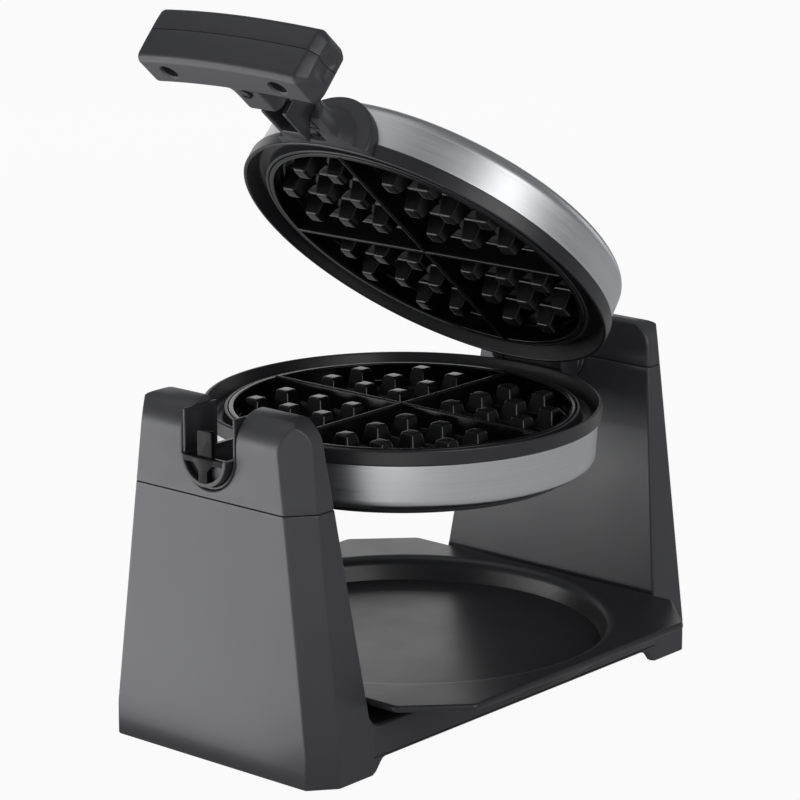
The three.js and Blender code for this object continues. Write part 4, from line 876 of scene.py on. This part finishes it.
def peg_tree():
    """Repeats a peg over a quarter of the plate, drops those outside the wall, then turns it four times."""
    tree, given = tree_with("waffle_pegs", {
        "Peg": "Geometry", "Pitch": "Float", "First": "Float", "Rows": "Int", "Reach": "Float",
        "Quarter Turns": "Int", "Coat": "Material"}, "Pegs")
    width = reckon(tree, "MULTIPLY", reckon(tree, "SUBTRACT", given["Rows"], 1), given["Pitch"])
    half = reckon(tree, "MULTIPLY_ADD", width, 0.5, given["First"])
    corner = add_node(tree, "ShaderNodeCombineXYZ", {"X": half, "Y": half})
    grid = add_node(tree, "GeometryNodeMeshGrid", {
        "Size X": width, "Size Y": width, "Vertices X": given["Rows"], "Vertices Y": given["Rows"]})
    shift = add_node(tree, "GeometryNodeSetPosition",
                     {"Geometry": grid.outputs["Mesh"], "Offset": corner.outputs[0]})
    place = add_node(tree, "GeometryNodeInputPosition").outputs[0]
    far = vector_step(tree, "LENGTH", place, result="Value")
    beyond = add_node(tree, "FunctionNodeCompare", {0: far, 1: given["Reach"]},
                      data_type="FLOAT", operation="GREATER_THAN")
    kept = add_node(tree, "GeometryNodeDeleteGeometry",
                    {"Geometry": shift.outputs[0], "Selection": beyond.outputs[0]}, domain="POINT")
    pegs = add_node(tree, "GeometryNodeInstanceOnPoints",
                    {"Points": kept.outputs[0], "Instance": given["Peg"]})
    centre = add_node(tree, "GeometryNodeMeshLine", {"Count": given["Quarter Turns"], "Offset": (0, 0, 0)})
    index = add_node(tree, "GeometryNodeInputIndex").outputs[0]
    spin = add_node(tree, "ShaderNodeCombineXYZ", {"Z": reckon(tree, "MULTIPLY", index, math.pi / 2)})
    blocks = add_node(tree, "GeometryNodeInstanceOnPoints", {
        "Points": centre.outputs["Mesh"], "Instance": pegs.outputs[0], "Rotation": spin.outputs[0]})
    return ended(tree, blocks.outputs[0], given["Coat"], "Pegs")


def ridge_shape(turn):
    profile = filleted([(-4.6, 13.5, 0.6), (-2.9, 12.6, 1.6), (-0.85, 2.0, 0.75), (0.85, 2.0, 0.75),
                        (2.9, 12.6, 1.6), (4.6, 13.5, 0.6), (4.6, 14.2), (-4.6, 14.2)], steps=5)
    rings = [[(x, y, z) for y, z in profile] for x in (-89.6, -60, -20, 20, 60, 89.6)]
    if turn:
        rings = [[(-y, x, z) for x, y, z in ring] for ring in rings]
    return skin(rings)


pan_wall = filleted([(70, 13.5), (88.5, 13.5, 2.2), (88.5, 2.6, 0.8), (91.3, 2.6, 0.8), (91.3, 16.5, 0.4),
                     (40, 16.5)], closed=False, steps=5)
pan_profile = [(0, 13.5), (40, 13.5)] + pan_wall + [(0, 16.5)]
waffle_pegs = peg_tree()
for name, body, place, node, coat in (
        ("lower_waffle_grid", "lower_iron", LOWER, "lower_waffle_plate",
         non_stick_coat("lower_non_stick", (-0.00575, 0, 0.161), (0, 0, 0))),
        ("lid_waffle_grid", "lid", LID, "lid_waffle_plate",
         non_stick_coat("lid_non_stick", tuple(lid_centre), (0, OPEN, 0)))):
    pegs = made_piece(name + "_pegs", [peg_shape()])
    grown(pegs, waffle_pegs, {"Pitch": 0.0235, "First": 0.0185, "Rows": 3, "Reach": 0.088,
                              "Quarter Turns": 4, "Coat": coat})
    pegs.data.transform(place @ Matrix.Scale(1000, 4))
    plate = made_piece(name, [turned(pan_profile, FINE), ridge_shape(False), ridge_shape(True)], place)
    joined(plate, pegs)
    dressed(plate, body, "non_stick", coat, node)


# Heaters
# Tubular elements under the plates, with a dull heat-blued skin. They keep their CAD shape.
heater_skin = plated_steel("heat_blued", 0.16, 0.55)
for node in ("lower_heater", "lid_heater"):
    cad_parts[node].data.materials.clear()
    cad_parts[node].data.materials.append(heater_skin)


# Collar of the lower iron
# A half pipe moulded with the rim, which lies in the slot. Its end is closed by a web and a rib,
# and a tab stands up from it to lock the closed lid.
pipe = filleted([(13.2, 60), (15.7, 60), (15.7, 151.5, 0.7), (13.2, 151.5, 0.7)])
collar = made_piece("collar", [turned(pipe, 49, axis="X", arc=(math.pi + 0.04, 2 * math.pi - 0.04))], IRON)
rim_room = turned([(0, -60), (105.3, -60), (105.3, 60), (0, 60)], FINE)
carved(collar, [made_piece("rim_room", [rim_room], IRON)])
eased(collar, 0.5, 50)


def rounded_block(x0, x1, outline, ease=0.6):
    """A block along the length from a [y, z] outline, with rounded ends."""
    stations = ((x0, ease), (x0 + 0.3 * ease, 0.3 * ease), (x0 + ease, 0),
                (x1 - ease, 0), (x1 - 0.3 * ease, 0.3 * ease), (x1, ease))
    return along_length(outline, stations)


def box_outline(y0, y1, z0, z1, radius=0.8):
    return filleted([(y0, z0, radius), (y1, z0, radius), (y1, z1, radius), (y0, z1, radius)],
                    steps=4, hold=0.1)


rib_outline = filleted([(-3, -14.2, 0.5), (3, -14.2, 0.5), (3, -7.4, 1), (7.4, -3, 0.8), (7.4, -0.9, 0.3),
                        (-7.4, -0.9, 0.3), (-7.4, -3, 0.8), (-3, -7.4, 1)], steps=4, hold=0.1)
hub = made_piece("collar_hub", [
    rounded_block(-151.4, -147.5, box_outline(-13.9, 13.9, -4, -0.6)),
    rounded_block(-151.5, -147.5, rib_outline, 0.5),
    rounded_block(-150.1, -147.5, box_outline(-5, 5, -3.9, 13, 1.6), 0.5)], IRON)
end_disc = made_piece("collar_end_disc", [rounded_block(-147.8, -146.4, filleted(
    [(13.4 * math.cos(a), 13.4 * math.sin(a)) for a in spread(math.pi + 0.1, 2 * math.pi - 0.1, 33)]), 0.3)],
                      IRON)
hub_black = moulded_plastic("hub_gloss_black", (0.002, 0.002, 0.003), (0.005, 0.005, 0.006), 0.3,
                            level=0.12, grain=0.00002)
dressed(collar, "lower_iron", "rim_plastic", satin_black, "lower_collar")
dressed(hub, "lower_iron", "rim_plastic", hub_black)
dressed(end_disc, "lower_iron", "rim_plastic", housing_black)


# Hinge
# The moulded yoke behind the rim carries two ears, a plated pin runs through them, and the
# bracket of the lid swings between. The yoke is screwed to a hollow shaft that turns in the tower.
for node, name, ease, body in (("hinge_yoke", "hinge_yoke_block", 0.8, "lower_iron"),
                               ("lid_hinge_bracket", "hinge_bracket_block", 0.7, "lid")):
    dressed(cad_copy(node, name, ease), body, "rim_plastic", satin_black, node)
pin_profile = filleted([(0, -24.3), (2.5, -24.3, 0.5), (2.5, 24.3, 0.5), (0, 24.3)], closed=False)
pin = made_piece("pin_rod", [turned(pin_profile, 40, axis="X")], PIVOT @ CROSSWISE)
dressed(pin, "lower_iron", "plated_steel", zinc, "hinge_pin")
for node, name, body in (("turning_shaft", "shaft_tube", "lower_iron"), ("hub_bush", "bush_ring", "stand")):
    dressed(cad_copy(node, name, 0.4), body, "plated_steel", zinc, node)
for i, y in ((1, -19), (2, 19)):
    place = IRON @ Matrix.Translation((121.98, y, 0)) @ Matrix.Rotation(math.pi / 2, 4, "Y")
    screw = cross_screw(f"flange_screw_{i}", 3.2, 1.8, 1.5, 9, place)
    dressed(screw, "lower_iron", "plated_steel", zinc, f"shaft_screw_{i}")


# Neck of the lid
# A moulded half drum against the side of the lid, which flares from a round boss to a wide
# flange. Its flat face has a recess with a screw.
grip_black = moulded_plastic("grip_black", (0.030, 0.030, 0.034), (0.044, 0.044, 0.049), 0.44, grain=0.00004)
neck_profile = filleted([(0, 60), (30, 60), (30, 106.5, 1.6), (22.5, 107.8, 5), (16.6, 114.4, 5), (15.7, 119),
                         (15.7, 131, 1.2), (0, 131)], closed=False, steps=8)
neck = made_piece("neck_drum", [turned(neck_profile, 65, axis="X", arc=(0.0001, math.pi - 0.0001))],
                  LID @ Matrix.Translation((0, 0, -1)))


def block(xs, ys, zs):
    """A plain block to cut with, between two values each of x, y and z."""
    (y0, y1), (z0, z1) = ys, zs
    return skin([[(x, y, z) for y, z in ((y0, z0), (y1, z0), (y1, z1), (y0, z1))] for x in xs])


carved(neck, [made_piece(name, [shape], LID) for name, shape in (
    ("flat_room", skin([[(x, y, z) for x, y in ((-140, -40), (-50, -40), (-50, 40), (-140, 40))]
                        for z in (-20, 0.6)])),
    ("band_room", turned([(0, -5), (105.3, -5), (105.3, 8.3), (0, 8.3)], FINE)),
    ("steel_room", turned([(0, 8.2), (103.3, 8.2), (103.3, 60), (0, 60)], FINE)),
    ("stem_room", block((-135, -120.7), (-8.8, 8.8), (-4, 8.3))),
    ("recess", block((-118, -109), (-6, 6), (-4, 3))))])
eased(neck, 0.7, 45)
dressed(neck, "lid", "rim_plastic", grip_black, "lid_neck")
neck_screw = cross_screw("neck_cross_screw", 3.2, 1.8, 1.5, 4.5,
                         LID @ Matrix.Translation((-113.5, 0, 2.7)) @ FLIPPED)
dressed(neck_screw, "lid", "plated_steel", black_oxide, "neck_screw")


# Stem
# A black moulded channel that joins the neck to the grip, open below, with a window for the tab.
dressed(cad_copy("handle_stem", "stem_channel", 0.8), "lid", "rim_plastic", satin_black, "handle_stem")


# Grip
# Two hollow shells screwed together: a slightly arched bar with a bevelled end and a round dimple
# in each, and a socket that flares out round the stem.
def grip_middle(y):
    return -184.1 - 4 * (1 - (y / 56) ** 2)


def grip_section(y, inset, corner):
    """The bar's outline at one place, a little fuller below and with a softly arched front face."""
    w, h = 11.9 - inset, 15.8 - inset
    front = [(-w + 0.5, h, corner), (-w, 0.35 * h, 14), (-w, -0.35 * h, 14), (-w + 0.3, -h, corner * 0.8)]
    outline = filleted([(w, h, corner)] + front + [(w, -h, corner)], steps=8, hold=0.5)
    return [(grip_middle(y) + x, y, -0.2 + z) for x, z in outline]


def dimple(y, radius, deep, sign):
    ring = []
    for x, _, z in grip_section(y, 4.2, 2.5):
        a = math.atan2(z + 0.2, x - grip_middle(y))
        ring.append((grip_middle(y) + radius * math.cos(a), y - sign * deep, -0.2 + radius * math.sin(a)))
    return ring


hollow = ((0.01, 1.9), (3, 1.75), (5.2, 1.25), (6.4, 0.7), (7.1, 0.15), (7.5, 0))
bevel = ((56, 4.2, 2.4), (55.85, 3.9, 2.6), (52.3, 0.55, 4.6), (51.8, 0.16, 4.9), (51.2, 0, 5))
rings = [dimple(-56, r, d, -1) for r, d in hollow] + [grip_section(-y, inset, r) for y, inset, r in bevel]
rings += [grip_section(y, 0, 5) for y in spread(-49.5, 49.5, 25)]
rings += [grip_section(y, inset, r) for y, inset, r in reversed(bevel)]
rings += [dimple(56, r, d, 1) for r, d in reversed(hollow)]
bar = skin(rings)


def socket_section(x, grow):
    w, h = 11.2 + grow, 10.9 + min(grow, 2.2)
    return [(x, y, z) for y, z in filleted([(-w, -h, 4), (w, -h, 4), (w, h, 4), (-w, h, 4)],
                                           steps=6, hold=0.3)]


socket = skin([socket_section(x, grow) for x, grow in (
    (-152.6, -1.1), (-152.8, -0.5), (-153.3, -0.12), (-154, 0), (-163, 0), (-168, 0.15), (-171, 0.6),
    (-173.5, 1.5), (-175, 2.6), (-177, 4.5), (-181, 5))])
stem_space = block((-186.3, -150), (-8.8, 8.8), (-8.3, 8.3))
counterbore = turned([(0, -30), (5.6, -30), (5.6, -16.1), (4.6, -15.2), (4.2, -4.5), (0, -4.5)], 40)
screw_hole = turned([(0, -30), (1.8, -30), (1.8, 0), (0, 0)], 24)
GRIP_SCREWS = (-36, 36)
SOCKET_SCREW = -168
far_space = [(-250, -100), (-120, -100), (-120, 100), (-250, 100)]
for name, node, z0, z1 in (("grip_lower", "grip_lower_shell", -40, 1.3),
                           ("grip_upper", "grip_upper_shell", 1.7, 40)):
    shell = made_piece(name, [bar], LID)
    carved(shell, [made_piece("socket", [socket], LID)], "UNION")
    tools = [made_piece("stem_space", [stem_space], LID)]
    if z0 < 0:
        tools += [made_piece("counterbore", [counterbore], LID @ Matrix.Translation((grip_middle(y), y, 0)))
                  for y in GRIP_SCREWS]
        tools.append(made_piece("screw_hole", [screw_hole], LID @ Matrix.Translation((SOCKET_SCREW, 0, 0))))
    carved(shell, tools)
    carved(shell, [made_piece("space", [skin([[(x, y, z) for x, y in far_space] for z in (z0, z1)])], LID)],
           "INTERSECT")
    eased(shell, 0.45, 50)
    dressed(shell, "lid", "grip_plastic", grip_black, node)
for i, y in enumerate(GRIP_SCREWS, 1):
    place = LID @ Matrix.Translation((grip_middle(y), y, -4.8)) @ FLIPPED
    screw = cross_screw(f"grip_cross_screw_{i}", 2.9, 1.8, 1.5, 9, place)
    dressed(screw, "lid", "plated_steel", black_oxide, f"grip_screw_{i}")
socket_screw = cross_screw("socket_cross_screw", 3.2, 1.8, 1.5, 9,
                           LID @ Matrix.Translation((SOCKET_SCREW, 0, -11.2)) @ FLIPPED)
dressed(socket_screw, "lid", "plated_steel", black_oxide, "socket_screw")


# Indicator lamps
# Two small tinted domes by the neck, dark while they are off.
def lamp_lens(name, colour):
    material, tree, shader, where = new_material(name)
    haze = noise(tree, where, 900.0, 3.0)
    fill(tree, shader, {"Roughness": 0.12, "Coat Weight": 0.5,
                        "Base Color": tinted(tree, haze, [c * 0.5 for c in colour], colour)})
    return material


for name, node, y, slot, colour in (("lamp_dome_power", "lamp_power", 1, "lamp_amber", (0.16, 0.035, 0.008)),
                                    ("lamp_dome_ready", "lamp_ready", 7, "lamp_green", (0.02, 0.09, 0.02))):
    dome_lens = made_piece(name, [turned(filleted([
        (0, 33.15), (1.0, 33.1), (1.9, 32.6, 0.8), (1.9, 30.1, 0.2), (0, 30.1)], closed=False), 32)],
                           LID @ Matrix.Translation((-90, y, 0)))
    dressed(dome_lens, "lid", slot, lamp_lens(name + "_lens", colour), node)
